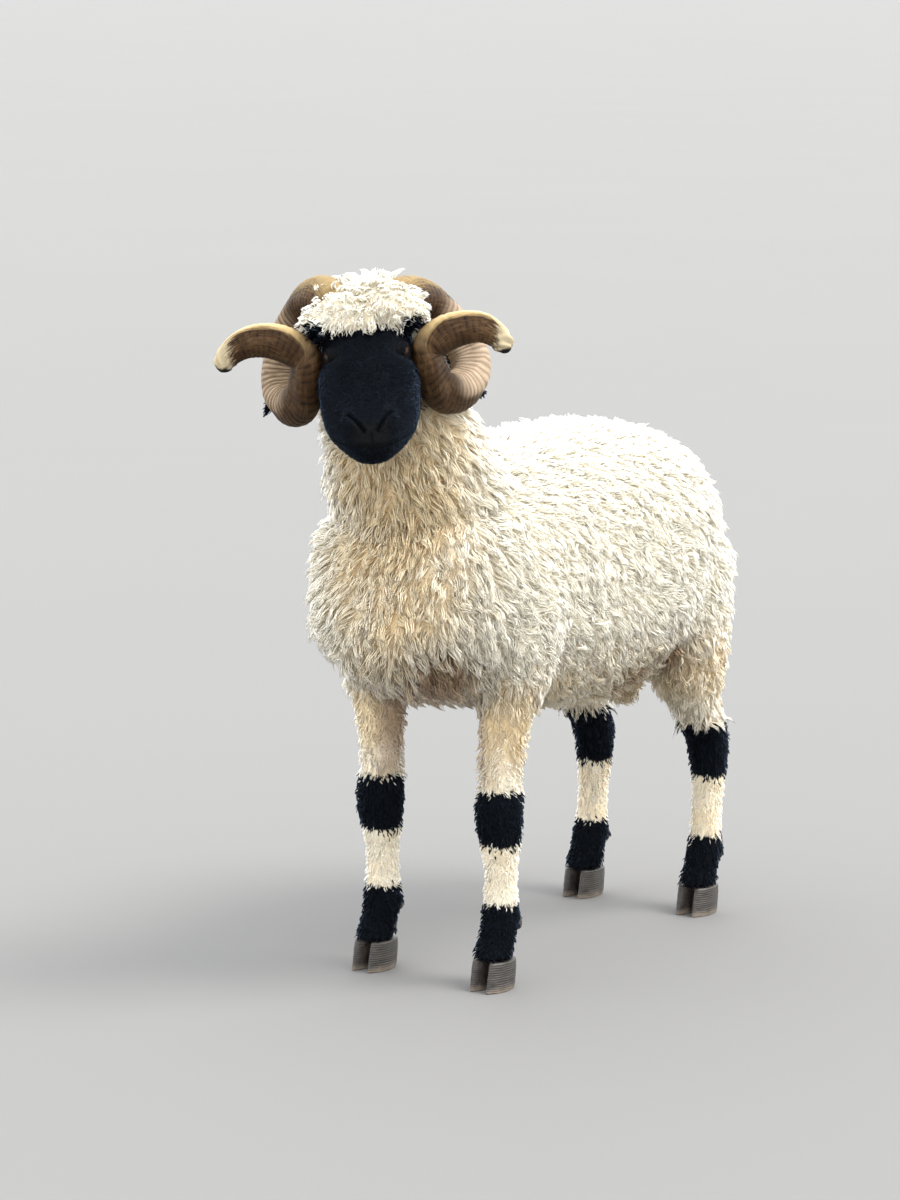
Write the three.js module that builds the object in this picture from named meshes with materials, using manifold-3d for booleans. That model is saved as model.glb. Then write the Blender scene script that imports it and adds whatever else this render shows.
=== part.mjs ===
// A blacknose mountain ram standing still, life size, its head turned to its left.
//
// Millimetres. The ram looks along -Y, its left side is +X, and the floor is z = 0.
// Every solid reaches out to the tips of the coat, so the fleece is part of its size.
// Each part is a row of rounded loops along a path, given by its few main stations.

import * as THREE from 'three';
import { LoftGeometry } from 'three/addons/geometries/LoftGeometry.js';
import { mergeVertices } from 'three/addons/utils/BufferGeometryUtils.js';
import Module from 'manifold-3d';

const wasm = await Module();
wasm.setup();

// ---------------------------------------------------------------- driving dimensions

const GAP = 0.4; // free space between two parts that meet
const EAR_GAP = 1.2; // and around the thin edges of an ear
const CENTRING = 95; // moves the ram along Y, so that its box is centred on the origin

// Head: the poll is where the neck ends, and the face hangs forward and down from it.
const POLL = new THREE.Vector3(-15, -427, 1020);
const HEAD_TURN = 35; // degrees to the ram's left
const HEAD_TILT = -4.5; // degrees, the left side held higher
const FACE_SLOPE = 40; // degrees below level
const FACE_DROP = 35; // the face's own frame starts this far below the poll

// Horns: one and a quarter turns of a coil, then a tip that flares out to the side.
const HORN_AXIS_FORWARD = 27; // the coil's axis, forward of the poll
const HORN_AXIS_UP = -83; // and below it
const HORN_START = -40; // degrees, 0 is the top of the coil and 90 is its back
const HORN_COIL_END = 272;
const HORN_OVAL = 0.82; // the coil's forward reach, as a share of its upward reach
const HORN_BASE_RADIUS = 31;
const HORN_BEND_RADIUS = 28;
const HORN_BEND = 0.62; // the share of the length where the thinning starts
const HORN_FLARE_START = 0.86; // and where the flare is a full blade
const HORN_TIP_RADIUS = 11;
const HORN_KEEL = 0.07; // how far the three blunt ridges stand out, as a share of the radius
const HORN_FLATNESS = 0.94; // thickness from flank to flank, as a share of keel to back
const HORN_TIP_FLATNESS = 0.6;

// The two horns differ a little. reach is the distance from the coil's axis to the
// middle of the horn at the base and at the cheek, and places are the coil's sideways
// places at even steps. The flare is given as [sideways, forward, up].
const LEFT_HORN = {
  reach: [68, 67],
  places: [36, 53, 78, 104, 127, 141, 137, 116, 94, 84, 83],
  flare: [
    [105, 80, -65],
    [134, 77, -58],
    [160, 71, -60],
    [182, 66, -75],
    [195, 63, -97],
  ],
};
const RIGHT_HORN = {
  reach: [80, 64],
  places: [36, 52, 74, 97, 116, 126, 124, 110, 93, 85, 85],
  flare: [
    [108, 80, -63],
    [138, 77, -54],
    [168, 71, -57],
    [192, 66, -72],
    [205, 63, -93],
  ],
};

// Eyes and ears
const EYE_RADIUS = 14;
const EYE_SIDE = 46; // the eyeball's middle, in the frame of the face
const EYE_DOWN_FACE = 107;
const EYE_HEIGHT = 30;
const EAR_THICKNESS = 7;

// Legs: the middle of each foot
const FORE_STANCE = 106; // half the distance between the forefeet
const HIND_STANCE = 106;
const FORE_CLAW_MIDDLE = -277; // along Y, before the centring
const HIND_CLAW_MIDDLE = 289;
const FORE_DEWCLAW = -236;
const HIND_DEWCLAW = 330;
const DEWCLAW_HEIGHT = 92;
const DEWCLAW_OFFSET = 14; // each to its side of the foot's middle
const CLAW_TOP = 44;
const CLAW_WIDTH = 27;
const CLEFT = 3; // between the two claws of a foot

// ---------------------------------------------------------------- shaping helpers

const toRadians = THREE.MathUtils.degToRad;

// One value of a smooth curve through the values that the stations give.
function smoothValue(values, place) {
  const last = values.length - 1;
  const index = Math.min(Math.floor(place), last - 1);
  const t = place - index;
  const before = values[Math.max(index - 1, 0)];
  const from = values[index];
  const to = values[index + 1];
  const after = values[Math.min(index + 2, last)];
  const slopeFrom = (to - before) / 2;
  const slopeTo = (after - from) / 2;
  const cubic = 2 * from - 2 * to + slopeFrom + slopeTo;
  const square = 3 * to - 3 * from - 2 * slopeFrom - slopeTo;
  return ((cubic * t + square) * t + slopeFrom) * t + from;
}

// A power of a signed number, which squares off or points a round loop.
function signedPower(value, power) {
  return Math.sign(value) * Math.abs(value) ** power;
}

// The points of one loop. side and front are its two directions, and the reaches are
// how far it goes to each side, to the front and to the back.
function loopPoints(centre, side, front, reach, around) {
  const points = [];
  const power = 2 / reach.square;
  for (let i = 0; i < around; i += 1) {
    const angle = (2 * Math.PI * i) / around;
    const x = signedPower(Math.cos(angle), power) * reach.wide;
    const y = signedPower(Math.sin(angle), power);
    const depth = y > 0 ? y * reach.fore : y * reach.hind;
    points.push(centre.clone().addScaledVector(side, x).addScaledVector(front, depth));
  }
  return points;
}

// A solid of loops along a path. Each station is [x, y, z, wide, fore, hind], and front
// is the direction of the fore reach. The loops stand across the path, or all across the
// direction in facing. grow makes the same solid larger all round.
function sweep(stations, { front, facing, around, along, square = 2.2, grow = 0 }) {
  const column = (index) => stations.map((station) => station[index]);
  const columns = [0, 1, 2, 3, 4, 5].map(column);
  const at = (place) => columns.map((values) => smoothValue(values, place));
  const last = stations.length - 1;
  const loops = [];
  for (let i = 0; i <= along; i += 1) {
    const place = (last * i) / along;
    const [x, y, z, wide, fore, hind] = at(place);
    const ahead = at(Math.min(place + 0.05, last));
    const behind = at(Math.max(place - 0.05, 0));
    const path = new THREE.Vector3(
      ahead[0] - behind[0],
      ahead[1] - behind[1],
      ahead[2] - behind[2],
    );
    const direction = facing ?? path.normalize();
    const side = new THREE.Vector3().crossVectors(front, direction).normalize();
    const up = new THREE.Vector3().crossVectors(direction, side);
    const centre = new THREE.Vector3(x, y, z);
    if (i === 0) centre.addScaledVector(direction, -grow);
    if (i === along) centre.addScaledVector(direction, grow);
    const reach = { wide: wide + grow, fore: fore + grow, hind: hind + grow, square };
    loops.push(loopPoints(centre, side, up, reach, around));
  }
  return loft(loops);
}

function loft(loops) {
  return new LoftGeometry(loops, { closed: true, capStart: true, capEnd: true });
}

// A geometry as a solid that can be joined and cut, and a solid as a geometry.
function toSolid(geometry) {
  const bare = new THREE.BufferGeometry();
  bare.setAttribute('position', geometry.attributes.position);
  bare.setIndex(geometry.index);
  const merged = mergeVertices(bare, 0.001);
  const vertProperties = new Float32Array(merged.attributes.position.array);
  const triVerts = new Uint32Array(merged.index.array);
  return new wasm.Manifold(new wasm.Mesh({ numProp: 3, vertProperties, triVerts }));
}

function toGeometry(solid) {
  const mesh = solid.getMesh();
  const geometry = new THREE.BufferGeometry();
  geometry.setAttribute('position', new THREE.BufferAttribute(mesh.vertProperties, 3));
  geometry.setIndex(new THREE.BufferAttribute(mesh.triVerts, 1));
  return geometry;
}

function cut(geometry, cutters) {
  let solid = toSolid(geometry);
  for (const cutter of cutters) solid = solid.subtract(toSolid(cutter));
  return toGeometry(solid);
}

function join(geometries) {
  let solid = toSolid(geometries[0]);
  for (const geometry of geometries.slice(1)) solid = solid.add(toSolid(geometry));
  return toGeometry(solid);
}

const FORWARD = new THREE.Vector3(0, -1, 0);
const UP = new THREE.Vector3(0, 0, 1);
const DOWN = new THREE.Vector3(0, 0, -1);
const CROWN = new THREE.Vector3(0, -0.5, 0.87); // the topknot leans over the forehead
const RIM = new THREE.Vector3(0, -0.2, 1); // the horn's keel turns this way in the flare

// ---------------------------------------------------------------- trunk and neck

// From the brisket to the rump: [x, y, z, half width, up to the back, down to the belly]
function trunk(grow = 0) {
  const stations = [
    [0, -442, 590, 26, 34, 30],
    [0, -430, 587, 92, 92, 80],
    [0, -395, 583, 142, 140, 136],
    [0, -320, 583, 176, 172, 170],
    [0, -210, 585, 190, 189, 195],
    [0, -90, 588, 200, 202, 220],
    [0, 40, 592, 205, 205, 236],
    [0, 150, 596, 199, 196, 226],
    [0, 236, 600, 175, 174, 184],
    [0, 303, 602, 142, 138, 144],
    [0, 349, 603, 98, 88, 102],
    [0, 366, 604, 43, 36, 42],
  ];
  return sweep(stations, { front: UP, around: 22, along: 17, square: 2.3, grow });
}

// From inside the chest up to the back of the poll
function neck(grow = 0) {
  const stations = [
    [0, -250, 625, 140, 145, 130],
    [-6, -310, 725, 138, 118, 116],
    [-12, -350, 815, 119, 100, 94],
    [-20, -372, 885, 101, 78, 78],
    [-28, -392, 940, 82, 62, 66],
    [-32, -406, 985, 66, 48, 52],
    [-29, -419, 1022, 30, 22, 26],
  ];
  return sweep(stations, { front: FORWARD, around: 18, along: 8, grow });
}

// ---------------------------------------------------------------- head

// The head's own frame: level, turned and tilted, with the poll as its origin
const headPlace = new THREE.Matrix4()
  .makeTranslation(POLL)
  .multiply(new THREE.Matrix4().makeRotationZ(toRadians(HEAD_TURN)))
  .multiply(new THREE.Matrix4().makeRotationY(toRadians(HEAD_TILT)));

// The same frame, lowered and sloped down along the face
const facePlace = headPlace
  .clone()
  .multiply(new THREE.Matrix4().makeTranslation(0, 0, -FACE_DROP))
  .multiply(new THREE.Matrix4().makeRotationX(toRadians(FACE_SLOPE)));

// From the back of the skull to the lips, laid along the face: the reaches go up to the
// forehead and nose, and down to the jaw.
function skull(grow = 0) {
  const stations = [
    [0, 22, 0, 26, 22, 26],
    [0, 4, 0, 50, 40, 46],
    [0, -30, 0, 61, 52, 66],
    [0, -65, 0, 64, 56, 84],
    [0, -95, 0, 66, 54, 91],
    [0, -125, 0, 70, 50, 91],
    [0, -155, 0, 71, 46, 83],
    [0, -185, 0, 69, 43, 67],
    [0, -215, 0, 59, 38, 51],
    [0, -240, 0, 42, 31, 41],
    [0, -258, 0, 27, 20, 28],
    [0, -266, 0, 12, 8, 12],
  ];
  const options = { front: UP, around: 18, along: 13, square: 2.6, grow };
  return sweep(stations, options).applyMatrix4(facePlace);
}

// The cushion of wool over the forehead, from one side to the other
function topknotWool(grow = 0) {
  const stations = [
    [-91, -78, -42, 9, 9, 9],
    [-80, -78, -38, 24, 17, 21],
    [-50, -74, -29, 46, 25, 36],
    [-8, -57, -18, 66, 27, 44],
    [28, -54, -14, 56, 35, 44],
    [56, -71, -23, 40, 27, 36],
    [80, -74, -30, 23, 17, 21],
    [91, -75, -34, 9, 9, 9],
  ];
  const options = { front: CROWN, around: 14, along: 10, grow };
  return sweep(stations, options).applyMatrix4(headPlace);
}

// The middle line of a horn in the head's frame, on the side given by its sign
function hornLine({ sign, shape }) {
  const points = [];
  const coilSteps = shape.places.length - 1;
  for (let i = 0; i <= coilSteps; i += 1) {
    const share = i / coilSteps;
    const angle = toRadians(THREE.MathUtils.lerp(HORN_START, HORN_COIL_END, share));
    const reach = THREE.MathUtils.lerp(...shape.reach, share);
    const forward = HORN_AXIS_FORWARD - HORN_OVAL * reach * Math.sin(angle);
    const up = HORN_AXIS_UP + reach * Math.cos(angle);
    points.push(new THREE.Vector3(sign * shape.places[i], -forward, up));
  }
  for (const [side, forward, up] of shape.flare) {
    points.push(new THREE.Vector3(sign * side, -forward, up));
  }
  return new THREE.CatmullRomCurve3(points, false, 'centripetal');
}

// Half the horn's thickness, from its base to its blunt tip
function hornRadius(share) {
  if (share < HORN_BEND) {
    return THREE.MathUtils.lerp(HORN_BASE_RADIUS, HORN_BEND_RADIUS, share / HORN_BEND);
  }
  const rest = (share - HORN_BEND) / (1 - HORN_BEND);
  return THREE.MathUtils.lerp(HORN_BEND_RADIUS, HORN_TIP_RADIUS, rest ** 3);
}

// A horn's loops have a blunt keel on the outside of the coil and flatter flanks. The
// flare is a blade with its keel on top.
function horn(side, grow = 0) {
  const line = hornLine(side);
  const steps = 26;
  const around = 10;
  const loops = [];
  for (let i = 0; i <= steps; i += 1) {
    const share = i / steps;
    const centre = line.getPointAt(share);
    const direction = line.getTangentAt(share);
    const outward = new THREE.Vector3(
      0,
      centre.y + HORN_AXIS_FORWARD,
      centre.z - HORN_AXIS_UP,
    ).normalize();
    const flare = THREE.MathUtils.smoothstep(share, HORN_BEND, HORN_FLARE_START);
    outward.lerp(RIM, flare);
    const flank = new THREE.Vector3().crossVectors(outward, direction).normalize();
    const keel = new THREE.Vector3().crossVectors(direction, flank);
    const flatness = THREE.MathUtils.lerp(HORN_FLATNESS, HORN_TIP_FLATNESS, flare);
    const radius = hornRadius(share);
    if (i === 0) centre.addScaledVector(direction, -grow);
    if (i === steps) centre.addScaledVector(direction, grow);
    const points = [];
    for (let j = 0; j < around; j += 1) {
      const angle = (2 * Math.PI * j) / around;
      const ridge = Math.cos(3 * (angle - Math.PI / 2));
      const bulge = radius * (1 + HORN_KEEL * ridge) + grow;
      const point = centre.clone();
      point.addScaledVector(flank, bulge * Math.cos(angle) * flatness);
      point.addScaledVector(keel, bulge * Math.sin(angle));
      points.push(point);
    }
    loops.push(points);
  }
  return loft(loops).applyMatrix4(headPlace);
}

// An ear is a thin, cupped leaf that runs back under the horn and out behind it.
// Each station is [side, forward, up, half width, cup].
function ear(sign, grow = 0) {
  const stations = [
    [50, -4, -46, 12, 2],
    [66, -24, -60, 17, 5],
    [86, -54, -83, 22, 6],
    [111, -77, -110, 24, 6],
    [136, -81, -144, 17, 4],
    [157, -75, -172, 4, 0],
  ];
  const around = 10;
  const along = 9;
  const columns = [0, 1, 2, 3, 4].map((index) => stations.map((row) => row[index]));
  const at = (place) => columns.map((values) => smoothValue(values, place));
  const last = stations.length - 1;
  const place = (row) => new THREE.Vector3(sign * row[0], -row[1], row[2]);
  const loops = [];
  for (let i = 0; i <= along; i += 1) {
    const share = (last * i) / along;
    const row = at(share);
    const centre = place(row);
    const direction = place(at(Math.min(share + 0.05, last)));
    direction.sub(place(at(Math.max(share - 0.05, 0)))).normalize();
    const turn = toRadians(THREE.MathUtils.lerp(15, 75, share / last));
    const face = new THREE.Vector3(sign * Math.cos(turn), -Math.sin(turn), 0.3);
    const broad = new THREE.Vector3().crossVectors(face, direction).normalize();
    const normal = new THREE.Vector3().crossVectors(direction, broad);
    if (i === 0) centre.addScaledVector(direction, -grow);
    if (i === along) centre.addScaledVector(direction, grow);
    const points = [];
    for (let j = 0; j < around; j += 1) {
      const angle = (2 * Math.PI * j) / around;
      const across = Math.cos(angle);
      const surface = Math.sin(angle) * (EAR_THICKNESS / 2 + grow);
      const lift = surface + row[4] * across * across;
      const point = centre.clone();
      point.addScaledVector(broad, across * (row[3] + grow));
      point.addScaledVector(normal, lift);
      points.push(point);
    }
    loops.push(points);
  }
  return loft(loops).applyMatrix4(headPlace);
}

// Eyeballs sit in the sides of the face and look outward.
function eye(sign, grow = 0) {
  const ball = new THREE.SphereGeometry(EYE_RADIUS + grow, 10, 7);
  ball.rotateZ(Math.PI / 2);
  ball.translate(sign * EYE_SIDE, -EYE_DOWN_FACE, EYE_HEIGHT);
  return ball.applyMatrix4(facePlace);
}

// ---------------------------------------------------------------- legs

// Stations of a leg on the ram's left: [out, y, z, wide, fore, hind]. Out is measured
// from the middle of the foot, towards the outside.
const foreArm = [
  [-8, -235, 685, 60, 80, 70],
  [10, -238, 605, 76, 92, 88],
  [18, -246, 525, 68, 78, 78],
  [16, -252, 462, 56, 56, 60],
  [7, -257, 405, 45, 44, 46],
  [1, -260, 345, 38, 37, 38],
  [0, -262, 292, 35, 35, 35],
];
const foreKnee = [
  [0, -262, 292, 35, 35, 35],
  [0, -264, 268, 37, 38, 35],
  [0, -264, 240, 36, 38, 34],
  [0, -262, 210, 31, 32, 32],
];
const foreShank = [
  [0, -262, 210, 31, 32, 32],
  [0, -261, 188, 26, 27, 28],
  [0, -260, 156, 24, 23, 26],
  [0, -260, 124, 26, 25, 28],
];
const forePastern = [
  [0, -260, 124, 26, 25, 28],
  [0, -261, 104, 29, 28, 31],
  [0, -268, 78, 27, 27, 28],
  [0, -276, 58, 29, 30, 29],
  [0, -279, CLAW_TOP, 30, 33, 31],
];
const hindThigh = [
  [-26, 224, 672, 54, 76, 62],
  [-8, 228, 595, 76, 106, 102],
  [2, 226, 515, 74, 112, 108],
  [6, 224, 450, 66, 104, 100],
  [8, 232, 395, 55, 88, 84],
  [5, 258, 346, 43, 62, 62],
  [2, 286, 305, 37, 44, 50],
];
const hindHock = [
  [2, 286, 305, 37, 44, 50],
  [0, 306, 278, 34, 35, 44],
  [0, 314, 250, 32, 31, 39],
  [0, 316, 215, 29, 28, 32],
];
const hindShank = [
  [0, 316, 215, 29, 28, 32],
  [0, 313, 184, 25, 24, 26],
  [0, 310, 150, 24, 23, 25],
  [0, 308, 120, 26, 25, 28],
];
const hindPastern = [
  [0, 308, 120, 26, 25, 28],
  [0, 306, 102, 29, 28, 31],
  [0, 298, 78, 27, 27, 28],
  [0, 290, 58, 29, 30, 29],
  [0, 287, CLAW_TOP, 30, 33, 31],
];

// Moves leg stations to one side of the ram, and lifts the lower end by the gap.
function legStations(rows, sign, stance) {
  return rows.map(([out, ...rest], index) => {
    const station = [sign * (stance + out), ...rest];
    if (index === rows.length - 1) station[2] += GAP;
    return station;
  });
}

function legPart(rows, sign, stance, along, grow = 0) {
  const options = { front: FORWARD, facing: DOWN, around: 14, along, square: 2.15, grow };
  return sweep(legStations(rows, sign, stance), options);
}

// Two small horny dewclaws stand on the back of each pastern.
function dewclaws(sign, stance, place) {
  return [-1, 1].map((half) => {
    const claw = new THREE.SphereGeometry(1, 6, 4);
    claw.scale(9, 10, 13);
    claw.translate(sign * stance + half * DEWCLAW_OFFSET, place, DEWCLAW_HEIGHT);
    return claw;
  });
}

// One claw of a cloven hoof: a flat sole, a pointed toe and a low heel
function claw(centreX, middle) {
  const half = CLAW_WIDTH / 2;
  const stations = [
    [centreX, middle - 6, 0, half, 36, 30],
    [centreX, middle - 5, 8, half + 0.5, 35, 31],
    [centreX, middle - 2, 26, half, 33, 31],
    [centreX, middle, CLAW_TOP, half - 0.5, 31, 29],
  ];
  const options = { front: FORWARD, facing: UP, around: 10, along: 3, square: 2.1 };
  return sweep(stations, options);
}

// ---------------------------------------------------------------- tail and pouch

function tail() {
  const stations = [
    [0, 322, 690, 18, 16, 16],
    [0, 350, 668, 30, 24, 24],
    [0, 372, 622, 36, 26, 24],
    [0, 383, 552, 39, 25, 25],
    [0, 386, 472, 37, 24, 25],
    [0, 384, 408, 31, 22, 23],
    [0, 381, 368, 20, 17, 17],
    [0, 380, 355, 7, 6, 6],
  ];
  return sweep(stations, { front: FORWARD, around: 12, along: 11, square: 2.3 });
}

// The woolly pouch that hangs between a ram's thighs
function pouch() {
  const stations = [
    [0, 222, 466, 30, 34, 34],
    [0, 224, 420, 37, 38, 38],
    [0, 226, 368, 40, 40, 40],
    [0, 227, 335, 29, 29, 29],
    [0, 227, 326, 12, 12, 12],
  ];
  return sweep(stations, { front: FORWARD, around: 12, along: 7 });
}

// ---------------------------------------------------------------- the whole ram

const looks = {
  fleece: { color: 0xe6dac4, roughness: 1 },
  chestFleece: { color: 0xd9c3a0, roughness: 1 },
  blackWool: { color: 0x17171a, roughness: 0.95 },
  horn: { color: 0x8a6a50, roughness: 0.6 },
  hoof: { color: 0x1c1a19, roughness: 0.55 },
  eye: { color: 0x8c6a2c, roughness: 0.1 },
};

const ram = new THREE.Group();
ram.position.y = CENTRING;

function addPart(name, geometry, look) {
  const faceted = geometry.index ? geometry.toNonIndexed() : geometry;
  faceted.computeVertexNormals();
  const material = new THREE.MeshStandardMaterial({ ...looks[look], metalness: 0 });
  const mesh = new THREE.Mesh(faceted, material);
  mesh.name = name;
  ram.add(mesh);
}

const sides = [
  { name: 'left', sign: 1, shape: LEFT_HORN },
  { name: 'right', sign: -1, shape: RIGHT_HORN },
];

const grownTrunk = trunk(GAP);
const grownSkull = skull(GAP);
const grownTopknot = topknotWool(GAP);
const grownHorns = sides.map((side) => horn(side, GAP));
const grownEars = sides.map(({ sign }) => ear(sign, EAR_GAP));
const grownEyes = sides.map(({ sign }) => eye(sign, GAP));
const THIGH_STEPS = 10;
const grownThighs = sides.map(({ sign }) => (
  legPart(hindThigh, sign, HIND_STANCE, THIGH_STEPS, GAP)
));
const aroundNeck = [grownTrunk, grownSkull, grownTopknot, ...grownHorns, ...grownEars];

addPart('trunk', trunk(), 'fleece');
addPart('neck', cut(neck(), aroundNeck), 'chestFleece');
addPart('head', cut(skull(), [...grownHorns, ...grownEars, ...grownEyes]), 'blackWool');
addPart('topknot', cut(topknotWool(), [grownSkull, ...grownHorns]), 'fleece');
addPart('tail', cut(tail(), [grownTrunk, ...grownThighs]), 'fleece');
addPart('pouch', cut(pouch(), [grownTrunk, ...grownThighs]), 'fleece');

for (const side of sides) {
  const { name, sign } = side;
  addPart(`horn_${name}`, horn(side), 'horn');
  addPart(`ear_${name}`, ear(sign), 'blackWool');
  addPart(`eye_${name}`, eye(sign), 'eye');

  const arm = cut(legPart(foreArm, sign, FORE_STANCE, 8), [grownTrunk]);
  const foreDewclaws = dewclaws(sign, FORE_STANCE, FORE_DEWCLAW);
  const foreFoot = join([legPart(forePastern, sign, FORE_STANCE, 4), ...foreDewclaws]);
  addPart(`foreleg_${name}_arm`, arm, 'fleece');
  addPart(`foreleg_${name}_knee`, legPart(foreKnee, sign, FORE_STANCE, 3), 'blackWool');
  addPart(`foreleg_${name}_shank`, legPart(foreShank, sign, FORE_STANCE, 3), 'fleece');
  addPart(`foreleg_${name}_pastern`, foreFoot, 'blackWool');

  const thigh = cut(legPart(hindThigh, sign, HIND_STANCE, THIGH_STEPS), [grownTrunk]);
  const hindDewclaws = dewclaws(sign, HIND_STANCE, HIND_DEWCLAW);
  const hindFoot = join([legPart(hindPastern, sign, HIND_STANCE, 4), ...hindDewclaws]);
  addPart(`hindleg_${name}_thigh`, thigh, 'fleece');
  addPart(`hindleg_${name}_hock`, legPart(hindHock, sign, HIND_STANCE, 3), 'blackWool');
  addPart(`hindleg_${name}_shank`, legPart(hindShank, sign, HIND_STANCE, 3), 'fleece');
  addPart(`hindleg_${name}_pastern`, hindFoot, 'blackWool');

  for (const [half, place] of [['inner', -1], ['outer', 1]]) {
    const offset = (place * (CLAW_WIDTH + CLEFT)) / 2;
    const foreClaw = claw(sign * (FORE_STANCE + offset), FORE_CLAW_MIDDLE);
    const hindClaw = claw(sign * (HIND_STANCE + offset), HIND_CLAW_MIDDLE);
    addPart(`forehoof_${name}_${half}`, foreClaw, 'hoof');
    addPart(`hindhoof_${name}_${half}`, hindClaw, 'hoof');
  }
}

export default ram;
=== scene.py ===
"""A blacknose mountain ram, life size, standing still with its head turned to its left."""

import itertools
import math

import bmesh
import bpy
import numpy as np
from mathutils import Matrix, Vector
from mathutils.bvhtree import BVHTree
from mathutils.kdtree import KDTree


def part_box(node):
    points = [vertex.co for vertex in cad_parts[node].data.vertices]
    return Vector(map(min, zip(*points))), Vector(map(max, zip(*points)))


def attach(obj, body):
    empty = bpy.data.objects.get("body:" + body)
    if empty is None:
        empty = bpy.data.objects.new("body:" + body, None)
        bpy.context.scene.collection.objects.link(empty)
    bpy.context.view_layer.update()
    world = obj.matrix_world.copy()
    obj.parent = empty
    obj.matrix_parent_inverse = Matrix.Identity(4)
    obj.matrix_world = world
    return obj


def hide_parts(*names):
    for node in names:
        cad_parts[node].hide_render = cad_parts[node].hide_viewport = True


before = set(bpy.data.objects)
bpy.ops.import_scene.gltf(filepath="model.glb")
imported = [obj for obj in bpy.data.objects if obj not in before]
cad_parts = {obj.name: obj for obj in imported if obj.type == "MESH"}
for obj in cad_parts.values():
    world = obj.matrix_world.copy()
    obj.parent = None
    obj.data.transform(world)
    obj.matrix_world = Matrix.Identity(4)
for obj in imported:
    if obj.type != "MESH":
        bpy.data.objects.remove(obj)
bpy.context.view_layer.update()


# ---------------------------------------------------------------- the hide
# The skin of the whole ram, one closed surface from the lips to the feet and the ears.
# It lies under the wool, by the wool's depth, and carries the face's folds and lids.

MM = 0.001
SIDES = {"left": 1, "right": -1}
HEAD_TURN = 35
HEAD_TILT = -4.5
FACE_SLOPE = 40
FACE_DROP = 0.035
POLL = Vector((-0.015, -0.332, 1.020))
HIDE_GRAIN = 3.6 * MM

# The head's own level frame, with the poll as its origin, and the same frame lowered and
# sloped along the face: x to the ram's left, -y towards the nose, z up to the forehead.
head_place = (
    Matrix.Translation(POLL)
    @ Matrix.Rotation(math.radians(HEAD_TURN), 4, "Z")
    @ Matrix.Rotation(math.radians(HEAD_TILT), 4, "Y")
)
face_place = (
    head_place
    @ Matrix.Translation((0, 0, -FACE_DROP))
    @ Matrix.Rotation(math.radians(FACE_SLOPE), 4, "X")
)


def moved(points, place):
    """Rows of points or one point, carried from a frame's coordinates into the row frame."""
    turn = np.array(place)
    return np.asarray(points, float) @ turn[:3, :3].T + turn[:3, 3]


def turned(directions, place):
    return np.asarray(directions, float) @ np.array(place)[:3, :3].T


def in_head(points):
    """Row-frame points in the head's frame, in millimetres."""
    return moved(points, head_place.inverted()) / MM


def in_face(points):
    """Row-frame points in the face's frame, in millimetres."""
    return moved(points, face_place.inverted()) / MM


def table(*columns):
    """Rows made of columns, some of which may be single numbers."""
    return np.stack(np.broadcast_arrays(*columns), -1).astype(float)


def unit(vectors):
    length = np.linalg.norm(vectors, axis=-1, keepdims=True)
    return vectors / np.maximum(length, 1e-9)


def ramp(values, start, end):
    """0 before start, 1 after end, and smooth between them."""
    t = np.clip((values - start) / (end - start), 0, 1)
    return t * t * (3 - 2 * t)


def bump(values, middle, reach):
    """1 at the middle, falling off smoothly over about the reach."""
    return np.exp(-(((values - middle) / reach) ** 2))


def soft_noise(points, size, seed):
    """Smooth values between -1 and 1 that change over about the given size."""
    place = points / size
    cell = np.floor(place).astype(np.int64)
    part = place - cell
    part = part * part * (3 - 2 * part)
    total = np.zeros(len(points))
    for corner in itertools.product((0, 1), repeat=3):
        x, y, z = (cell + corner).T
        mixed = (x * 73856093) ^ (y * 19349663) ^ (z * 83492791) ^ (seed * 40503)
        mixed = (mixed * 1103515245 + 12345) & 0x7FFFFFFF
        mixed = ((mixed >> 7) * 69069 + 1) & 0x7FFFFFFF
        value = ((mixed >> 9) & 0xFFFF) / 32767.5 - 1
        total += value * np.where(corner, part, 1 - part).prod(1)
    return total


def read_rows(items, field, width=3, kind=np.int32):
    """A field of a mesh's points, edges or faces, with a row of numbers for each."""
    values = np.empty(len(items) * width, kind)
    items.foreach_get(field, values)
    return values.reshape(-1, width)


def read_points(mesh, field="co"):
    return read_rows(mesh.vertices, field, kind=np.float32).astype(float)


def write_points(mesh, points):
    mesh.vertices.foreach_set("co", points.astype(np.float32).ravel())
    mesh.update()


def spread(values, edges, steps):
    """Values at a mesh's points, evened out with their neighbours' a few times."""
    count = np.bincount(edges.ravel(), minlength=len(values))
    for _ in range(steps):
        near = np.bincount(edges[:, 0], values[edges[:, 1]], len(values))
        near += np.bincount(edges[:, 1], values[edges[:, 0]], len(values))
        values = 0.5 * values + 0.5 * near / np.maximum(count, 1)
    return values


def ease(points, edges, share, passes):
    """Smooths a mesh by moving each point by that share of the way to its neighbours."""
    for _ in range(passes):
        evened = np.stack([spread(points[:, axis], edges, 1) for axis in range(3)], 1)
        points = points + (evened - points) * share[:, None]
    return points


def new_piece(name, mesh):
    piece = bpy.data.objects.new(name, mesh)
    bpy.context.scene.collection.objects.link(piece)
    return piece


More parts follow.
